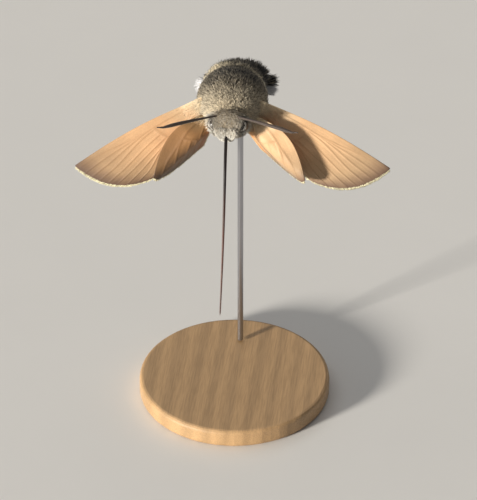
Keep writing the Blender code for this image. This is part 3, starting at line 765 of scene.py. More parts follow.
def head_shade(points):
    """Grey-beige on the crown and near white round the face, with painted shade in a ring over the upper part of each
    eye.
    """
    side, ahead, up = points.T
    shade = np.repeat(pick("head_crown")[None], len(points), 0)
    shade = blend(shade, pick("head_face"), ramp((abs(side) - 1.5) / 0.9) * ramp((ahead - 5.4) / 1.0) * 0.9)
    shade = blend(shade, pick("head_face"), ramp((-0.2 - up) / 1.3))
    # Painted shade: a darker ring round the upper part of each eye, in the hollow where it sits
    aside = points - EYE * np.stack([np.sign(side), side * 0 + 1, side * 0 + 1], -1)
    ring = np.linalg.norm(aside, axis=1)
    return blend(shade, pick("thorax_middle"), within(ring, 1.0, 1.4, 0.25) * ramp((up + 0.6) / 0.8) * 0.3)


def abdomen_shade(points):
    """Dark grey-brown above, paler below, with a white patch on each flank."""
    t = abdomen_t(points[:, 1])
    _, up = body_axis(points[:, 1])
    rise = points[:, 2] - up
    shade = np.repeat(pick("abdomen_back")[None], len(points), 0)
    shade = blend(shade, pick("tuft_black"), (1 - ramp((t - 0.24) / 0.14)) * 0.93)
    rings = within((t * 8) % 1.0, 0.82, 1.0, 0.15)
    shade = blend(shade, pick("hair_tip"), rings * 0.3)
    shade = blend(shade, pick("abdomen_under"), ramp((-0.9 - rise) / 1.4))
    ragged = t + 0.016 * np.sin(9 * rise + 2) + 0.012 * np.sin(23 * rise - points[:, 1] * 5)
    gap = 1 - 0.85 * within(ragged, 0.405, 0.435, 0.03)
    patch = within(ragged, 0.31, 0.53, 0.05) * within(rise + 0.25 * np.sin(t * 150), -2.1, -0.1, 0.6)
    shade = blend(shade, pick("tuft_white"), patch * gap)
    patch = within(ragged, 0.53, 0.66, 0.05) * within(rise, -1.6, 1.0, 0.7)
    return blend(shade, pick("tuft_black"), patch * 0.9)


def region(points):
    """Shares of thorax, head and abdomen at each place on the body."""
    head = ramp((points[:, 1] - 5.35) / 0.5)
    inside = ((points / (THORAX_HALF - 0.2)) ** 2).sum(1)
    abdomen = ramp((inside - 1.0) / 0.2) * (points[:, 1] < 0)
    return (1 - head) * (1 - abdomen), head, abdomen * (1 - head)


def body_shade(points):
    thorax, head, abdomen = region(points)
    shade = thorax_shade(points) * thorax[:, None]
    shade += head_shade(points) * head[:, None]
    return shade + abdomen_shade(points) * abdomen[:, None]


def lie(points, normals):
    """The way the coat lies, and how far it stands up where it parts.

    It lies back over the thorax and abdomen, and down over the face towards the tips of the palps.
    """
    thorax, head, abdomen = region(points)
    _, _, along = abdomen_axes(abdomen_t(points[:, 1]))
    side = points[:, 0]
    face = unit(np.stack([side * 0.3, 0 * side + 10.4, 0 * side - 1.7], -1) - points)
    front = ramp((points[:, 1] - 4.5) / 1.2)[:, None]
    flow = np.array((0.0, -1.0, -0.12)) * (1 - front) + face * front
    flow = flow * (1 - abdomen[:, None]) + along * abdomen[:, None]
    flow = flow - normals * (flow * normals).sum(1, keepdims=True)
    strength = np.linalg.norm(flow, axis=1)
    return flow / np.maximum(strength, 0.05)[:, None], 1 - ramp(strength / 0.75)


def comb(coat, roots, normals, flow, length, width, lift, shade, tip_shade, unwrap=body_unwrap, spread=0.22,
         bend=0.25, dark=0.4, curl=0.0):
    """Adds tufts that lift off the skin, each a little astray, and bend towards the lie of the coat.

    Curl bends them to either side too.
    """
    draw = coat.draw
    count = len(roots)
    astray = draw.normal(0, spread, (count, 3))
    astray -= normals * (astray * normals).sum(1, keepdims=True)
    lean = unit(flow + astray)
    rise = (np.broadcast_to(lift, count) + draw.normal(0, 0.1, count))[:, None]
    aims = lean * np.cos(rise) + normals * np.sin(rise)
    bends = (lean - normals * 0.6) * bend
    if curl:
        bends = bends + np.cross(normals, lean) * draw.normal(0, curl, (count, 1))
    lengths = length * draw.uniform(0.75, 1.15, count)
    widths = width * draw.uniform(0.75, 1.25, count)
    light = draw.uniform(0.78, 1.18, count)[:, None]
    deep = np.broadcast_to(dark, count)[:, None]
    coat.add(roots - normals * 0.06, aims, normals, lengths, widths, bends, shade * light * deep,
             tip_shade * light, unwrap(roots))


def skin_depth(points):
    """How far below the solids the skin lies."""
    thorax, head, abdomen = region(points)
    group = sizes()
    return (thorax * group.thorax_depth + head * group.head_depth + abdomen * group.abdomen_depth) / MM


# Pieces


class HawkMothPiece:
    """What the operators share."""

    bl_options = {"REGISTER", "UNDO"}

    def execute(self, context):
        self.make(context)
        return {"FINISHED"}


SURFACES = {}


class HAWKMOTH_OT_skin(HawkMothPiece, bpy.types.Operator):
    """One skin over the thorax, head and abdomen, below the coat"""

    bl_idname = "hawk_moth.skin"
    bl_label = "Skin"

    def make(self, context):
        group = sizes()
        bm = bmesh.new()
        for middle, half, depth in (
            (HEAD * 0, THORAX_HALF, group.thorax_depth / MM),
            (HEAD, HEAD_HALF, group.head_depth / MM),
        ):
            where = Matrix.Translation(Vector(to_world(middle)))
            shape = Matrix.Diagonal((*((half - depth) * MM), 1))
            bmesh.ops.create_uvsphere(bm, u_segments=64, v_segments=48, radius=1, matrix=where @ shape)
        made = bmesh.ops.create_uvsphere(bm, u_segments=64, v_segments=96, radius=1)["verts"]
        ball = np.array([vert.co for vert in made])
        t = 0.5 + 0.5 * ball[:, 2] * 0.985
        full = np.minimum(1, np.hypot(ball[:, 0], ball[:, 1]) / math.sin(math.pi / 5))
        turn = np.arctan2(ball[:, 1], ball[:, 0])
        middle = abdomen_middle(t)
        round_it = abdomen_surface(t, turn, -group.abdomen_depth / MM)
        for vert, point in zip(made, to_world(middle + (round_it - middle) * full[:, None])):
            vert.co = point
        bmesh.ops.recalc_face_normals(bm, faces=bm.faces)
        skin = add_object("body_skin", bm, skin_material())
        remesh = skin.modifiers.new("join", "REMESH")
        remesh.mode = "VOXEL"
        remesh.voxel_size = 0.2 * MM
        soften = skin.modifiers.new("soften", "SMOOTH")
        soften.factor = 0.5
        soften.iterations = 14
        graph = context.evaluated_depsgraph_get()
        skin.data = bpy.data.meshes.new_from_object(skin.evaluated_get(graph))
        skin.modifiers.clear()
        skin.data.name = "body_skin"
        skin.data.shade_smooth()
        surface = Surface(skin)
        # The skin takes the coat's colours at half strength; the lighter band round the neck is painted light against
        # the shade where the head meets the thorax
        neck = np.exp(-(((surface.points[:, 1] - 5.4) / 0.5) ** 2))
        paint(skin.data, body_shade(surface.points) * (0.5 + 0.4 * neck)[:, None])
        SURFACES["body"] = surface
        finish_piece(skin, "thorax_fur", "thorax", "head", "abdomen")


class HAWKMOTH_OT_thorax_fur(HawkMothPiece, bpy.types.Operator):
    """Dense hair on the thorax, with its cream band and the pale hair at the wings' roots"""

    bl_idname = "hawk_moth.thorax_fur"
    bl_label = "Thorax Fur"

    def make(self, context):
        group = sizes()
        coat = Coat(11)

        def density(points):
            thorax, _, _ = region(points)
            return thorax * group.thorax_density * (1 + np.exp(-(((points[:, 1] - 5.35) / 0.35) ** 2)))

        roots, normals = SURFACES["body"].scatter(density, coat.draw)
        flow, parted = lie(roots, normals)
        count = len(roots)
        rear = ramp((-1.9 - roots[:, 1]) / 1.2) * ramp((roots[:, 2] + 1) / 1.5)
        # collar: lengthens the hair before the head, and lightens its roots as painted light against the shade where
        # the head meets the thorax
        collar = np.exp(-(((roots[:, 1] - 4.9) / 0.8) ** 2))
        front = ramp((roots[:, 1] - 0.5) / 4)
        length = group.thorax_hair / MM * (1 + 0.55 * rear - 0.22 * front + 0.1 * collar)
        lift = 0.8 + 0.28 * rear + 0.42 * front + 0.2 * parted - 0.35 * ramp((-1 - roots[:, 2]) / 2)
        middle = roots + flow * (length * 0.35)[:, None]
        shade = thorax_shade(middle)
        rim, band = thorax_rim(middle)
        length = length * (1 - 0.15 * within(rim, 0.5, 1.8, 0.3) * (roots[:, 2] > 0))
        # From here the band counts on the moth's right flank only, where the key light falls: there its hair grows
        # longer and stands higher, and painted light brightens its darker tufts and roots
        band *= ramp(-roots[:, 0] / 3)
        lift = lift + 0.1 * band
        length = length * (1 + 0.25 * band)
        kind = coat.draw.random(count)
        shade = shade * np.where(kind > 0.7, 0.4 + 0.2 * front + 0.5 * band, 1.0)[:, None]
        tip = blend(shade, pick("hair_tip"), np.where(kind < 0.42, 0.35 + 0.4 * front, 0.0) * (1 - rear * 0.3))
        width = group.hair_width / MM * np.where(kind < 0.42, 1.2, 1.0)
        comb(coat, roots, normals, flow, length, width, lift, shade, tip, spread=0.24 + 0.14 * front[:, None],
             dark=0.18 + 0.5 * shade[:, 1] ** 2 + 0.45 * collar + 0.3 * band, curl=0.38)
        coat.make("thorax_fur", coat_material("thorax_hair"), "thorax_fur", "thorax")


class HAWKMOTH_OT_head_fur(HawkMothPiece, bpy.types.Operator):
    """Short hair on the head, brows over the eyes, and the scaled palps"""

    bl_idname = "hawk_moth.head_fur"
    bl_label = "Head Fur"

    def make(self, context):
        group = sizes()
        coat = Coat(12)
        radius = group.eye_radius / MM

        def eye_side(points):
            return ramp((abs(points[:, 0]) - 1.9) / 0.5) * ramp((7.3 - points[:, 1]) / 0.4)

        def density(points):
            _, head, _ = region(points)
            near = np.minimum(*(np.linalg.norm(points - EYE * (sign, 1, 1), axis=1) for sign in (1, -1)))
            palps = (points[:, 1] > 7.3) & (points[:, 2] < 0.4) & (abs(points[:, 0]) < 1.4)
            neck = 1 + 0.8 * np.exp(-(((points[:, 1] - 5.6) / 0.4) ** 2))
            return head * (near > radius - 0.05 + 0.15 * eye_side(points)) * ~palps * group.head_density * neck

        roots, normals = SURFACES["body"].scatter(density, coat.draw)
        flow, parted = lie(roots, normals)
        front = ramp((roots[:, 1] - 7.0) / 1.2) * ramp((roots[:, 2] + 1.6) / 0.8)
        near = np.minimum(*(np.linalg.norm(roots - EYE * (sign, 1, 1), axis=1) for sign in (1, -1)))
        rim = 1 - ramp((near - radius - 0.1) / 0.3)
        outer = rim * eye_side(roots)
        length = group.head_hair / MM * (1 + 0.15 * front + 0.6 * rim - 0.45 * outer)
        shade = head_shade(roots + flow * 0.4)
        shade = shade * np.where(coat.draw.random(len(roots)) < 0.3, 0.45, 1.0)[:, None]
        tip = blend(shade, pick("head_face"), coat.draw.uniform(0, 0.6, len(roots)))
        width = group.hair_width / MM * 0.85
        neck = np.exp(-(((roots[:, 1] - 5.6) / 0.4) ** 2))
        lift = 0.5 - 0.22 * front + 0.5 * parted + 0.75 * outer
        # Painted light: roots are lighter round the neck, against the shade where the head meets the thorax
        comb(coat, roots, normals, flow, length * (1 + 0.4 * neck), width, lift, shade, tip, dark=0.44 + 0.46 * neck,
             curl=0.34)

        def muzzle(points):
            _, head, _ = region(points)
            near = np.minimum(*(np.linalg.norm(points - EYE * (sign, 1, 1), axis=1) for sign in (1, -1)))
            where = (points[:, 1] > 6.9) & (points[:, 2] > 0.4) & (points[:, 2] < 1.4) & (near > radius + 0.1)
            return head * where * MUZZLE_DENSITY

        roots, normals = SURFACES["body"].scatter(muzzle, coat.draw)
        count = len(roots)
        side = abs(roots[:, 0])
        apart = np.sign(roots[:, 0]) * (0.3 + 0.6 * side)
        target = np.stack([apart, 9.1 - 0.4 * side, 0.5 - 0.3 * side], -1)
        aims = target + coat.draw.normal(0, 0.16, (count, 3)) - roots
        reach = np.linalg.norm(aims, axis=1) * coat.draw.uniform(0.45, 0.75, count)
        aims = unit(aims) + normals * 0.3
        shade = blend(head_shade(roots), pick("head_face"), coat.draw.uniform(0.0, 0.45, count))
        light = coat.draw.uniform(0.8, 1.15, count)[:, None]
        coat.add(roots, aims, normals, reach, coat.draw.uniform(0.09, 0.14, count), -normals * 0.22,
                 shade * light * 0.45, shade * light, body_unwrap(roots))

        gaze = unit(EYE_GAZE)
        down = np.array((0.9, 10.2, -2.4)) - (EYE + gaze * radius)
        down = unit(down - gaze * (down @ gaze))
        aside = np.cross(gaze, down)
        for sign in SIDES.values():
            mirror = (sign, 1, 1)
            count = 2100
            normals = unit(coat.draw.normal(0, 1, (count, 3)))
            roots = EYE + normals * radius
            outside = (((roots - HEAD) / (HEAD_HALF - group.head_depth / MM)) ** 2).sum(1) > 0.96
            gap = np.degrees(np.arccos(np.clip(normals @ gaze, -1, 1)))
            far = np.maximum(normals @ gaze, 0.05)
            wide = np.degrees(np.arctan2(normals @ aside, far)) / EYE_SLIT[0]
            high = np.degrees(np.arctan2(normals @ down, far)) / EYE_SLIT[1]
            cheek = normals @ unit(np.array((0.5, 0.35, -0.79)))
            keep = outside & (((np.hypot(wide, high) > 1) & (gap < EYE_BARE)) | ((cheek > 0.8) & (gap > EYE_BARE)))
            roots, normals, wide, high, cheek = roots[keep], normals[keep], wide[keep], high[keep], cheek[keep]
            flow = unit(np.array((0.9, 10.2, -2.4)) - roots)
            flow = flow + unit(aside * wide[:, None] + down * high[:, None])
            flow = unit(flow - normals * (flow * normals).sum(1, keepdims=True))
            length = 0.26 + 0.45 * ramp((cheek - 0.6) / 0.3)
            white = ramp((normals @ np.array((0.8, 0.2, -0.57)) + 0.2) / 0.5)
            shade = blend(head_shade(roots * mirror), pick("head_face"),
                          np.maximum(coat.draw.uniform(0.1, 0.7, len(roots)), white))
            comb(coat, roots * mirror, normals * mirror, flow * mirror, length, width, 0.26, shade, shade, dark=0.65,
                 spread=0.16)
        finish = coat_material("head_hair")
        coat.make("head_fur", finish, "head_fur", "head")

        for name, sign in SIDES.items():
            root = PALP_ROOT * (sign, 1, 1)
            reach = PALP_TIP * (sign, 1, 1) - root
            over = unit(np.cross((1.0, 0, 0), reach))
            bm = bmesh.new()
            bmesh.ops.create_uvsphere(bm, u_segments=32, v_segments=24, radius=1)
            ball = np.array([vert.co for vert in bm.verts])
            share = 0.5 + 0.5 * ball[:, 2]
            full = (0.62 + 0.38 * share)[:, None]
            shape = root + reach * (0.04 + 0.9 * share)[:, None]
            shape = shape + np.array((1.0, 0, 0)) * ball[:, :1] * 0.98 * full + over * ball[:, 1:2] * 0.85 * full
            for vert, point in zip(bm.verts, to_world(shape)):
                vert.co = point
            palp = add_object("palp_skin_" + name, bm, skin_material())
            surface = Surface(palp)
            white = np.repeat(pick("head_face")[None], len(surface.points), 0)
            paint(palp.data, white * 0.6)
            finish_piece(palp, "head_fur", "palp_" + name)
            scales = Coat(13)
            roots, normals = surface.scatter(lambda points: 150 + 0 * points[:, 0], scales.draw)
            flow = unit(np.array((0.3 * sign, 9.9, -1.75)) - roots)
            flow = unit(flow - normals * (flow * normals).sum(1, keepdims=True))
            upper = ramp((roots[:, 2] + 0.9) / 1.2)
            shade = blend(np.repeat(pick("head_face")[None], len(roots), 0), pick("head_crown"),
                          upper * scales.draw.uniform(0.0, 0.45, len(roots)))
            # Painted shade: the palps are darkened on their inner faces, where they meet
            inner = ramp((0.14 - roots[:, 0] * sign) / 0.14)
            shade = shade * (1 - 0.6 * inner)[:, None]
            length = 0.45 + 0.3 * ramp((roots - root) @ reach / (reach @ reach) * 1.6 - 0.6)

            def palp_unwrap(points):
                along = (points - root) @ reach / (reach @ reach)
                turn = np.arctan2((points - root) @ over, points[:, 0] - root[0]) / (2 * math.pi) + 0.5
                return np.stack([turn, 0.1 + 0.8 * along], -1)

            comb(scales, roots, normals, flow, length, 0.1, 0.2, shade, shade, palp_unwrap, 0.14, 0.1, dark=0.7)
            scales.make("palp_scales_" + name, finish, "head_fur", "palp_" + name)


class HAWKMOTH_OT_abdomen_fur(HawkMothPiece, bpy.types.Operator):
    """Scales and hair on the abdomen, with the white and black tufts on its flanks"""

    bl_idname = "hawk_moth.abdomen_fur"
    bl_label = "Abdomen Fur"

    def make(self, context):
        group = sizes()
        coat = Coat(14)

        def density(points):
            _, _, abdomen = region(points)
            return abdomen * group.abdomen_density

        roots, normals = SURFACES["body"].scatter(density, coat.draw)
        flow, _ = lie(roots, normals)
        t = abdomen_t(roots[:, 1])
        front = 1 - ramp((t - 0.24) / 0.16)
        crest = front * ramp((roots[:, 2] - body_axis(roots[:, 1])[1] + 0.4) / 2.2)
        crest *= 1 + 0.85 * ramp(roots[:, 0] / 3) - 0.5 * ramp(-roots[:, 0] / 3)
        length = group.abdomen_hair / MM * (0.85 + 0.35 * front + 0.75 * crest)
        lift = 0.2 + 0.2 * front + 0.4 * crest
        shade = abdomen_shade(roots + flow * 0.5)
        pale = coat.draw.random(len(roots)) < 0.4 - 0.36 * ramp(roots[:, 0] / 2) * front
        tip = blend(shade, pick("hair_tip"), pale * (0.25 + 0.35 * front))
        comb(coat, roots, normals, flow, length, group.hair_width / MM * (1.8 - 0.4 * front), lift, shade, tip)
        finish = coat_material("abdomen_scales")
        coat.make("abdomen_fur", finish, "abdomen_fur", "abdomen")

        tuft = Coat(15)
        for first, last, count, length, sweep in ((0.3, 0.47, 520, 3.3, 38), (0.52, 0.64, 300, 2.8, 56)):
            for sign in SIDES.values():
                t = tuft.draw.uniform(first, last, count)
                degrees = tuft.draw.uniform(-19.5 + 2.5 * sign, 16, count)
                turn = np.radians(degrees)
                across, over, along = abdomen_axes(t)
                out = across * (sign * np.cos(turn))[:, None] + over * np.sin(turn)[:, None]
                round_it = turn if sign > 0 else math.pi - turn
                roots = abdomen_surface(t, round_it, -group.abdomen_depth / MM) - out * 0.1
                black = ramp((degrees + TUFT_ROLL * sign - TUFT_BLACK) / 6) if first < 0.5 else np.ones(count)
                flat = black * (sign < 0)
                angle = np.radians(sweep) + tuft.draw.normal(0, 0.12, count) + flat * 0.45
                aims = out * np.cos(angle)[:, None] + along * np.sin(angle)[:, None]
                aims = aims + over * tuft.draw.normal(-0.06, 0.07, count)[:, None]
                lengths = length * tuft.draw.uniform(0.7, 1.05, count) * (1 - 0.3 * flat)
                shade = blend(np.repeat(pick("tuft_white")[None], count, 0), pick("tuft_black"), black)
                tip = blend(shade, pick("hair_tip"), black * (tuft.draw.random(count) < 0.4) * 0.8)
                light = tuft.draw.uniform(0.8, 1.05, count)[:, None]
                widths = tuft.draw.uniform(0.2, 0.36, count)
                bends = along * 0.16 - out * 0.05
                tuft.add(roots, aims, over, lengths, widths, bends, shade * light * 0.85, tip * light, body_unwrap(roots))
        tuft.make("side_tufts", finish, "abdomen_fur", "abdomen", rings=LOCK_RINGS, flat=0.22)


class HAWKMOTH_OT_tail_fan(HawkMothPiece, bpy.types.Operator):
    """The fan of long black scales at the tail"""

    bl_idname = "hawk_moth.tail_fan"
    bl_label = "Tail Fan"

    def make(self, context):
        coat = Coat(16)
        for count, spread, t, lift, length, rise in (
            (120, 51, 0.86, 0.7, 6.3, 6),
            (100, 47, 0.88, 0.1, 6.0, 0),
            (100, 44, 0.9, -0.55, 5.5, -6),
        ):
            turn = np.radians(spread) * (2 * (np.arange(count) + coat.draw.random(count)) / count - 1)
            t = t + coat.draw.uniform(-0.05, 0.05, count)
            rise = np.radians(rise + coat.draw.uniform(-4, 4, count))
            across, over, along = abdomen_axes(t)
            roots = abdomen_middle(t) + across * (np.sin(turn) * 1.7)[:, None]
            roots = roots + over * (lift * np.cos(turn) + coat.draw.uniform(-0.32, 0.32, count))[:, None]
            aims = along * np.cos(turn)[:, None] + across * np.sin(turn)[:, None]
            aims = aims + over * (np.sin(rise) + coat.draw.normal(0, 0.03, count))[:, None]
            lengths = length * (1 - 0.16 * abs(turn) / math.radians(spread)) * coat.draw.uniform(0.84, 1.03, count)
            shade = np.repeat(pick("tuft_black")[None], count, 0)
            outer = ramp((abs(turn) - math.radians(spread * 0.8)) / 0.1)
            shade = blend(shade, pick("abdomen_back"), coat.draw.uniform(0, 0.5, count))
            shade = blend(shade, pick("tuft_white"), outer * (coat.draw.random(count) < 0.5) * 0.8)
            tip = blend(shade, pick("hair_tip"), 0.08 + 0 * turn)
            widths = coat.draw.uniform(0.32, 0.52, count)
            coat.add(roots, aims, over, lengths, widths, -over * 0.07, shade, tip, body_unwrap(roots))
        coat.make("tail_fan_scales", coat_material("tail_scales", 0.5), "tail_scales", "tail_fan",
                  rings=LOCK_RINGS, flat=0.16)


class HAWKMOTH_OT_eyes(HawkMothPiece, bpy.types.Operator):
    """Glossy compound eyes, set into the hair of the head"""

    bl_idname = "hawk_moth.eyes"
    bl_label = "Eyes"

    def make(self, context):
        finish = eye_material()
        for name, sign in SIDES.items():
            bm = bmesh.new()
            where = Matrix.Translation(Vector(to_world(EYE * (sign, 1, 1))))
            bmesh.ops.create_uvsphere(bm, u_segments=48, v_segments=32, radius=sizes().eye_radius, matrix=where)
            eye = add_object("compound_eye_" + name, bm, finish)
            # gap: angle from the gaze, which places the painted pseudopupil
            out = unit(Surface(eye).points - EYE * (sign, 1, 1))
            facing = np.clip(out @ unit(EYE_GAZE * (sign, 1, 1)), -1, 1)
            set_points(eye.data, "gap", np.arccos(facing) / math.pi)
            finish_piece(eye, "eye", "eye_" + name)


def proboscis_path(t):
    """From inside the head, out between the palps, then along the lean with a slight knee."""
    count = 200
    share = (np.arange(count) + 0.5) / count
    lean = PROBOSCIS_LEAN + PROBOSCIS_KNEE_LEAN * (1 - ramp(share / PROBOSCIS_KNEE))
    step = PROBOSCIS_LENGTH / count
    ahead = np.concatenate([[0], np.cumsum(np.sin(lean) * step)])
    down = np.concatenate([[0], np.cumsum(-np.cos(lean) * step)])
    along = np.linspace(0, 1, count + 1)
    side = PROBOSCIS_SWAY * along**2 + PROBOSCIS_BOW * along * (1 - along)
    line = PROBOSCIS_EXIT + np.stack([side, ahead, down], -1)
    line = np.concatenate([PROBOSCIS_START[None], line])
    reach = np.concatenate([[0], np.cumsum(np.linalg.norm(np.diff(line, axis=0), axis=1))])
    return np.stack([np.interp(t * reach[-1], reach, line[:, i]) for i in range(3)], -1)


class HAWKMOTH_OT_proboscis(HawkMothPiece, bpy.types.Operator):
    """The long proboscis, two fine tubes joined along a groove"""

    bl_idname = "hawk_moth.proboscis"
    bl_label = "Proboscis"

    def make(self, context):
        thick = sizes().proboscis_radius / MM

        def radius(u, turn):
            groove = 1 - 0.16 * np.exp(-((np.cos(turn) / 0.3) ** 2))
            return thick * (1 - 0.6 * u**1.2) * groove * (1 - 0.7 * ramp((u - 0.985) / 0.015))

        obj = tube("proboscis_tube", proboscis_material(), proboscis_path, radius, 220, 24)
        finish_piece(obj, "proboscis", "proboscis")


def antenna_path(side):
    root = ANTENNA_ROOT * (SIDES[side], 1, 1)
    reach = ANTENNA_REACH[side] * (SIDES[side], 1, 1)

    def path(t):
        hook = ANTENNA_HOOK * ramp((t - 0.88) / 0.12)
        bow = np.stack([0 * t, -hook, 4 * ANTENNA_BOW * t * (1 - t) + hook], -1)
        return root + reach * t[:, None] + bow

    return path


class HAWKMOTH_OT_antennae(HawkMothPiece, bpy.types.Operator):
    """Ringed, clubbed antennae with a hooked tip and fine scales"""

    bl_idname = "hawk_moth.antennae"
    bl_label = "Antennae"

    def make(self, context):
        group = sizes()
        thin, club = group.antenna_radius / MM, group.antenna_club / MM
        finish = antenna_material()
        scales = coat_material("antenna_scales", 0.55)

        def thickness(u):
            swollen = thin + (club - thin) * ramp((u - 0.15) / 0.5)
            return swollen + (0.08 - swollen) * ramp((u - 0.74) / 0.28)

        def radius(u, turn):
            rings = 1 - 0.09 * ramp(((u * 46) % 1.0 - 0.72) / 0.14)
            return thickness(u) * rings

        for name, sign in SIDES.items():
            path = antenna_path(name)
            obj = tube("feeler_" + name, finish, path, radius, 276, 16)
            surface = Surface(obj)
            shade = blend(np.repeat(pick("antenna")[None], len(surface.points), 0), pick("antenna_under"),
                          ramp((-surface.normals[:, 2] - 0.1) / 0.6) * 0.7)
            paint(obj.data, shade)
            finish_piece(obj, "antenna", "antenna_" + name)

            coat = Coat(17)
            count = 900
            t = coat.draw.uniform(0.02, 0.93, count)
            turn = coat.draw.uniform(0, 2 * math.pi, count)
            middle = path(t)
            along = unit(path(t + 0.01) - middle)
            first = unit(np.cross(along, (0.0, 0, 1)))
            second = np.cross(along, first)
            normals = first * np.cos(turn)[:, None] + second * np.sin(turn)[:, None]
            roots = middle + normals * (thickness(t) * 0.92)[:, None]
            shade = blend(np.repeat(pick("antenna")[None], count, 0), pick("antenna_under"),
                          ramp((-normals[:, 2] + 0.2) / 0.9) * 0.8)

            def feeler_unwrap(points, turn=turn, t=t):
                return np.stack([turn / (2 * math.pi), t], -1)

            comb(coat, roots, normals, along, np.full(count, 0.26), 0.075, 0.24, shade * 1.6, shade, feeler_unwrap, 0.12)
            coat.make("feeler_scales_" + name, scales, "antenna", "antenna_" + name)


def wing_axes(side, droop):
    droop = droop - SIDES[side] * WING_BANK
    out = np.array((SIDES[side], 0, 0.0))
    raised = np.array((0, -math.sin(WING_FACE), math.cos(WING_FACE)))
    facing = np.array((0, math.cos(WING_FACE), math.sin(WING_FACE)))
    span = out * math.cos(droop) - raised * math.sin(droop)
    chord = -out * math.sin(droop) - raised * math.cos(droop)
    return span, chord, facing


def forewing_place(u, v):
    """Span, chord and normal places on the forewing: u from root to margin, v from costa to inner edge."""
    root = np.stack([0 * v, (v - 0.35) * 1.7], -1)
    apex = np.array((21.8, 0.0))
    spread = math.radians(30)
    tornus = np.array((math.cos(spread), math.sin(spread))) * 13.6
    edge = unit(tornus - apex)
    square = np.array((edge[1], -edge[0]))
    margin = apex + (tornus - apex) * v[:, None]
    margin = margin + square * (2.1 * np.sin(math.pi * np.clip(v, 0, 1)) ** 0.8)[:, None]
    place = root + (margin - root) * u[:, None]
    place[:, 1] += (-0.7 + 1.3 * v) * np.sin(math.pi * u)
    reach = np.linalg.norm(place, axis=1)
    back = -1.6 * ramp(reach / 4) - 0.14 * np.maximum(place[:, 1], 0)
    back += 0.4 * np.sin(math.pi * v) * ramp(u * 2) - 0.95 * u * u * (1 - v / 2)
    return place[:, 0], place[:, 1], back


def hindwing_place(u, v):
    """Places on the hindwing, whose hind part rolls away from its normal."""
    root = np.stack([0 * v, (v - 0.5) * 1.5], -1)
    turn = np.radians(8 + 74 * v) * 0.72
    far = 12 * (1 - 0.42 * ramp(v))
    margin = np.stack([far * np.cos(turn), far * np.sin(turn)], -1)
    place = root + (margin - root) * u[:, None]
    place[:, 1] -= 1.9 * (1 - v) * np.sin(math.pi * u)
    along, across = place.T
    back = 1.2 * ramp(np.hypot(along, across) / 4)
    beyond = np.maximum(across - 0.6, 0)
    arc = np.minimum(beyond / 1.2, math.radians(80))
    straight = beyond - arc * 1.2
    rolled = 1.2 * np.sin(arc) + straight * np.cos(arc)
    sunk = 1.2 * (1 - np.cos(arc)) + straight * np.sin(arc)
    return along, np.where(across > 0.6, 0.6 + rolled, across), back - sunk


def vein_heights(u, v, cell, stems, branches, width):
    """Height from 0 to 1 of the veins: stems to the end of the cell, its bar, and branches to the margin."""
    across = width * (0.1 + 0.9 * u)

    def line(where):
        return np.exp(-(((v - where) * across / 0.13) ** 2))

    height = np.zeros_like(u)
    for stem in stems:
        height = np.maximum(height, line(stem) * (1 - ramp((u - cell) / 0.03)))
    bar = np.exp(-(((u - cell) * width / 0.16) ** 2)) * ((v > stems[0]) & (v < stems[1]))
    height = np.maximum(height, bar)
    for start, end in branches:
        where = start + (end - start) * ramp((u - cell) / 0.45)
        height = np.maximum(height, line(where) * ramp((u - cell + 0.01) / 0.02))
    return height * (1 - 0.6 * ramp((u - 0.9) / 0.1))


FOREWING_VEINS = (0.42, (0.16, 0.6, 0.88), ((0.16, 0.05), (0.16, 0.13), (0.16, 0.22), (0.2, 0.32), (0.36, 0.43),
                                             (0.5, 0.54), (0.6, 0.66), (0.6, 0.78), (0.88, 0.92)), 13)
HINDWING_VEINS = (0.45, (0.24, 0.62, 0.86), ((0.24, 0.12), (0.24, 0.27), (0.42, 0.42), (0.56, 0.57), (0.62, 0.72),
                                             (0.86, 0.87)), 9)


def wing_points(side, root, droop, place):
    span, chord, facing = wing_axes(side, droop)
    root = root * (SIDES[side], 1, 1)

    def middle(u, v):
        a, b, c = place(u, v)
        return root + span * a[:, None] + chord * b[:, None] + facing * c[:, None]

    return middle


def wing_normals(middle, u, v, facing):
    small = 1e-3
    near_u = middle(np.minimum(u + small, 1), v) - middle(np.maximum(u - small, 0), v)
    near_v = middle(u, np.minimum(v + small, 1)) - middle(u, np.maximum(v - small, 0))
    normals = unit(np.cross(near_u, near_v))
    if normals[np.argmin(abs(u - 0.3) + abs(v - 0.1))] @ facing < 0:
        normals = -normals
    return normals


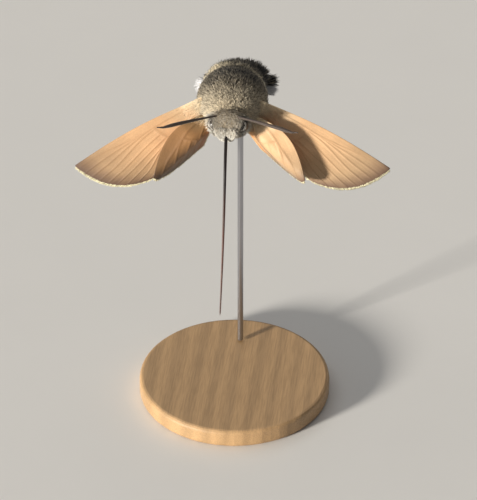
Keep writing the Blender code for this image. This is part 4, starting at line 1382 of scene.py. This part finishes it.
def make_wing(name, side, root, droop, place, veins, finish, slot, node):
    """A thin membrane whose veins stand off both of its faces."""
    group = sizes()
    middle = wing_points(side, root, droop, place)
    facing = wing_axes(side, droop)[2]
    bm, u, v = sheet(112, 128, lambda u, v: to_world(middle(u, v)))
    layers = {key: bm.verts.layers.float.new(key) for key in ("upper", "vein", "plan_u", "plan_v")}
    near = list(bm.verts)
    copy = bmesh.ops.duplicate(bm, geom=near + list(bm.edges) + list(bm.faces))
    far = [copy["vert_map"][vert] for vert in near]
    bmesh.ops.reverse_faces(bm, faces=[face for face in copy["geom"] if isinstance(face, bmesh.types.BMFace)])
    heights = vein_heights(u, v, *veins)
    costa = np.exp(-((v * 12) ** 2))
    half = (group.membrane / 2 + group.vein * np.maximum(heights, costa * 1.2)) / MM
    half *= 1 - 0.5 * ramp((u - 0.96) / 0.04)
    normals = wing_normals(middle, u, v, facing)
    points = middle(u, v)
    lower, raised = to_world(points + normals * half[:, None]), to_world(points - normals * half[:, None])
    for verts, places, upper in ((near, lower, 0.0), (far, raised, 1.0)):
        for vert, point, height, a, b in zip(verts, places, heights, u, v):
            vert.co = point
            vert[layers["upper"]] = upper
            vert[layers["vein"]] = height
            vert[layers["plan_u"]] = a
            vert[layers["plan_v"]] = b
    bmesh.ops.bridge_loops(bm, edges=[edge for edge in bm.edges if edge.is_boundary])
    plan = bm.loops.layers.uv.new("WingPlan")
    for face in bm.faces:
        for loop in face.loops:
            loop[plan].uv = (loop.vert[layers["plan_u"]], loop.vert[layers["plan_v"]])
    obj = add_object(name, bm, finish)
    return finish_piece(obj, slot, node)


def make_fringe(name, side, root, droop, place, count, shade, finish, slot, node, inner):
    """Scales along the wing's outer margin and round its inner edge."""
    coat = Coat(21)
    middle = wing_points(side, root, droop, place)
    facing = wing_axes(side, droop)[2]
    v = coat.draw.uniform(0.02, 1, count)
    u = np.full(count, 0.992)
    edge = int(count * inner)
    v[:edge] = 0.994
    u[:edge] = coat.draw.uniform(0.12, 1, edge)
    points = middle(u, v)
    out = unit(points - middle(u - 0.02, v))
    aside = unit(points - middle(u, v - 0.02))
    out[:edge] = unit(aside[:edge] + out[:edge] * 0.7)
    normals = wing_normals(middle, u, v, facing)
    lengths = sizes().fringe / MM * coat.draw.uniform(0.6, 1.1, count)
    widths = coat.draw.uniform(0.1, 0.17, count)
    shades = np.repeat(shade[None], count, 0) * coat.draw.uniform(0.7, 1.2, count)[:, None]
    aims = out + coat.draw.normal(0, 0.08, (count, 3))
    coat.add(points - out * 0.1, aims, normals, lengths, widths, normals * 0.02, shades * 0.85, shades * 1.1,
             np.stack([u * 0.98 + 0.01, v * 0.98 + 0.01], -1))
    coat.make(name, finish, slot, node, flat=0.12)


def make_wing_hair(name, side, root, droop, place, count, reach, shade, finish, slot, node):
    """Long soft hair over the base of a wing, on both of its faces."""
    coat = Coat(22)
    middle = wing_points(side, root, droop, place)
    facing = wing_axes(side, droop)[2]
    u = reach * coat.draw.random(count) ** 1.5 * coat.draw.uniform(0.75, 1.2, count)
    v = coat.draw.uniform(0.03, 0.97, count)
    points = middle(u, v)
    face = np.where(coat.draw.random(count) < 0.65, 1.0, -1.0)[:, None]
    normals = wing_normals(middle, u, v, facing) * face
    flow = unit(middle(u + 0.02, v) - points)
    shades = blend(np.repeat(shade[None], count, 0), pick("wing_peach"), ramp(u / reach * 1.3 - 0.2) * 0.8)
    comb(coat, points + normals * 0.03, normals, flow, 1.15 - 2.6 * u, 0.07, 0.06, shades, shades,
         lambda points: np.stack([u, v], -1), 0.1, 0.03, dark=0.9)
    coat.make(name, finish, slot, node)


class HAWKMOTH_OT_forewings(HawkMothPiece, bpy.types.Operator):
    """Long forewings, peach below and grey-brown with dark lines above"""

    bl_idname = "hawk_moth.forewings"
    bl_label = "Forewings"

    def make(self, context):
        fringe = coat_material("fringe_scales")
        for name in SIDES:
            # Each side's forewing underside takes its own tint of painted shade
            finish = wing_material("forewing_scales_" + name, "forewing_top", forewing_pattern, 0.0, PAINTED_WING_SHADE[name][0])
            wing = (name, FOREWING_ROOT, FOREWING_DROOP, forewing_place)
            make_wing("forewing_membrane_" + name, *wing, FOREWING_VEINS, finish, "forewing", "forewing_" + name)
            make_fringe("forewing_fringe_" + name, *wing, 900, pick("wing_fringe"), fringe, "forewing",
                        "forewing_" + name, 0.25)
            make_wing_hair("forewing_hair_" + name, *wing, 4600, 0.18, pick("wing_base"), fringe, "forewing",
                           "forewing_" + name)


class HAWKMOTH_OT_hindwings(HawkMothPiece, bpy.types.Operator):
    """Short hindwings, rolled along their hind part, orange with a brown margin"""

    bl_idname = "hawk_moth.hindwings"
    bl_label = "Hindwings"

    def make(self, context):
        fringe = coat_material("hindwing_fringe")
        for name in SIDES:
            # Each side's hindwing underside takes its own tint of painted shade
            finish = wing_material("hindwing_scales_" + name, "hindwing_top", hindwing_pattern, 0.7, PAINTED_WING_SHADE[name][1])
            wing = (name, HINDWING_ROOT, HINDWING_DROOP, hindwing_place)
            make_wing("hindwing_membrane_" + name, *wing, HINDWING_VEINS, finish, "hindwing", "hindwing_" + name)
            make_fringe("hindwing_fringe_" + name, *wing, 700, pick("wing_fringe"), fringe, "hindwing",
                        "hindwing_" + name, 0.3)
            make_wing_hair("hindwing_hair_" + name, *wing, 1700, 0.13, pick("wing_base"), fringe, "hindwing",
                           "hindwing_" + name)


class HAWKMOTH_OT_legs(HawkMothPiece, bpy.types.Operator):
    """Slim scaled legs folded under the body, with spurs and claws"""

    bl_idname = "hawk_moth.legs"
    bl_label = "Legs"

    def make(self, context):
        finish = leg_material()
        hair = coat_material("leg_hair")
        radii = (0.34, 0.36, 0.26, 0.17, 0.13)
        for side, sign in SIDES.items():
            for pair, joints in LEG_JOINTS.items():
                line = np.array(joints) * (sign, 1, 1)
                reach = np.concatenate([[0], np.cumsum(np.linalg.norm(np.diff(line, axis=0), axis=1))])
                reach /= reach[-1]
                smooth = np.linspace(0, 1, 81)
                path_points = np.stack([np.interp(smooth, reach, line[:, i]) for i in range(3)], -1)
                for _ in range(3):
                    path_points[1:-1] = (path_points[:-2] + 2 * path_points[1:-1] + path_points[2:]) / 4

                def path(t):
                    return np.stack([np.interp(t, smooth, path_points[:, i]) for i in range(3)], -1)

                def radius(u, turn):
                    base = np.interp(u, reach, radii)
                    joint = np.min([abs(u - place) for place in reach[1:-1]], axis=0)
                    pinch = 1 - 0.22 * np.exp(-((joint / 0.012) ** 2))
                    toes = 1 - 0.2 * (u > reach[3]) * ramp((((u - reach[3]) / (1 - reach[3]) * 5) % 1 - 0.8) / 0.15)
                    return base * pinch * toes * (1 - 0.6 * ramp((u - 0.99) / 0.01))

                obj = tube(f"{pair}_leg_{side}", finish, path, radius, 200, 14)
                node = f"leg_{pair}_{side}"
                finish_piece(obj, "leg", node)

                coat = Coat(31)
                count = 420
                t = coat.draw.uniform(0.05, 0.98, count)
                turn = coat.draw.uniform(0, 2 * math.pi, count)
                middle = path(t)
                along = unit(path(t + 0.01) - path(t - 0.01))
                first = unit(np.cross(along, (1.0, 0, 0)))
                second = np.cross(along, first)
                normals = first * np.cos(turn)[:, None] + second * np.sin(turn)[:, None]
                roots = middle + normals * (radius(t, turn) * 0.9)[:, None]
                shades = np.repeat(pick("leg")[None], count, 0)
                long = 0.5 - 0.25 * ramp((t - 0.4) / 0.3)
                comb(coat, roots, normals, along, long, 0.075, 0.22, shades * 1.3, shades,
                     lambda points, turn=turn, t=t: np.stack([turn / (2 * math.pi), t], -1), 0.12)
                for at, aim, size_of in ((0.985, 0.6, 0.3), (0.985, -0.6, 0.3), (reach[3], 0.45, 0.7), (reach[3], -0.3, 0.55)):
                    share = np.array([at])
                    along = unit(path(share) - path(share - 0.02))
                    out = unit(np.cross(along, (0.0, 0, 1.0)))
                    coat.add(path(share), along + out * aim - np.array((0, 0, 0.15)), out, np.array([size_of]),
                             np.array([0.12]), -out * 0.1, shades[:1] * 0.7, shades[:1] * 0.4, np.array([[0.5, at]]))
                coat.make(f"{pair}_leg_hair_{side}", hair, "leg", node)


class HAWKMOTH_OT_stand(HawkMothPiece, bpy.types.Operator):
    """Finishes the round wooden base and the steel rod"""

    bl_idname = "hawk_moth.stand"
    bl_label = "Stand"

    def make(self, context):
        for node, finish in (("stand_base", wood_material()), ("stand_rod", steel_material())):
            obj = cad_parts[node]
            if not obj.material_slots:
                obj.data.materials.append(None)
            for slot in obj.material_slots:
                slot.material = finish


class HAWKMOTH_OT_stage(HawkMothPiece, bpy.types.Operator):
    """Pale floor, soft studio lights and the camera"""

    bl_idname = "hawk_moth.stage"
    bl_label = "Stage"

    def make(self, context):
        scene = context.scene
        bm = bmesh.new()
        bmesh.ops.create_grid(bm, x_segments=1, y_segments=1, size=4)
        mesh = bpy.data.meshes.new("floor")
        bm.to_mesh(mesh)
        bm.free()
        floor = bpy.data.objects.new("floor", mesh)
        scene.collection.objects.link(floor)
        mesh.materials.append(floor_material())

        world = bpy.data.worlds.new("studio")
        scene.world = world
        world.use_nodes = True
        world.node_tree.nodes["Background"].inputs[0].default_value = (0.94, 0.96, 1.0, 1)
        world.node_tree.nodes["Background"].inputs[1].default_value = 0.13
        scene.view_settings.view_transform = "Standard"

        target = Vector(THORAX * MM)
        for name, aim, width, power, tint in (
            ("key_light", (-0.72, -0.66, 0.2), 8, 6.3, (1.0, 0.95, 0.87)),
            ("top_light", (-0.25, 0.35, 1.0), 70, 0.76, (1.0, 0.98, 0.95)),
            ("fill_light", (0.5, -0.7, 0.7), 60, 0.04, (0.95, 0.97, 1.0)),
        ):
            light = bpy.data.lights.new(name, "SUN")
            light.angle = math.radians(width)
            light.energy = power
            light.color = tint
            lamp = bpy.data.objects.new(name, light)
            scene.collection.objects.link(lamp)
            away = Vector(aim).normalized()
            lamp.location = target + away
            lamp.rotation_euler = away.to_track_quat("Z", "Y").to_euler()

        azimuth, elevation = math.radians(6), math.radians(35)
        across = Vector((math.cos(azimuth), math.sin(azimuth), 0))
        back = Vector((math.sin(azimuth) * math.cos(elevation), -math.cos(azimuth) * math.cos(elevation),
                       math.sin(elevation)))
        upward = back.cross(across)
        pixels = 6.7
        aim = target + across * (6 / pixels * MM) - upward * (150 / pixels * MM)
        distance = 0.55
        lens = bpy.data.cameras.new("camera")
        lens.sensor_width = 36
        lens.lens = 36 * distance / (500 / pixels * MM)
        lens.clip_start = 0.01
        lens.clip_end = 10
        camera = bpy.data.objects.new("camera", lens)
        scene.collection.objects.link(camera)
        camera.location = aim + back * distance
        camera.rotation_euler = back.to_track_quat("Z", "Y").to_euler()
        scene.camera = camera


PIECES = (
    HAWKMOTH_OT_skin,
    HAWKMOTH_OT_thorax_fur,
    HAWKMOTH_OT_head_fur,
    HAWKMOTH_OT_abdomen_fur,
    HAWKMOTH_OT_tail_fan,
    HAWKMOTH_OT_eyes,
    HAWKMOTH_OT_proboscis,
    HAWKMOTH_OT_antennae,
    HAWKMOTH_OT_forewings,
    HAWKMOTH_OT_hindwings,
    HAWKMOTH_OT_legs,
    HAWKMOTH_OT_stand,
    HAWKMOTH_OT_stage,
)


class HAWKMOTH_PT_panel(bpy.types.Panel):
    """Lists the moth's sizes, colours and pieces"""

    bl_label = "Hawk Moth"
    bl_idname = "HAWKMOTH_PT_panel"
    bl_space_type = "VIEW_3D"
    bl_region_type = "UI"
    bl_category = "Hawk Moth"

    def draw(self, context):
        for group in (context.scene.hawk_moth_sizes, context.scene.hawk_moth_colours):
            box = self.layout.box()
            for name in group.__annotations__:
                box.prop(group, name)
        for piece in PIECES:
            self.layout.operator(piece.bl_idname)


CLASSES = (HawkMothSizes, HawkMothColours, *PIECES, HAWKMOTH_PT_panel)


def register():
    for entry in CLASSES:
        bpy.utils.register_class(entry)
    bpy.types.Scene.hawk_moth_sizes = PointerProperty(type=HawkMothSizes)
    bpy.types.Scene.hawk_moth_colours = PointerProperty(type=HawkMothColours)


def unregister():
    del bpy.types.Scene.hawk_moth_colours
    del bpy.types.Scene.hawk_moth_sizes
    for entry in reversed(CLASSES):
        bpy.utils.unregister_class(entry)


def main():
    register()
    for piece in PIECES:
        group, name = piece.bl_idname.split(".")
        getattr(getattr(bpy.ops, group), name)()


if __name__ == "__main__":
    main()
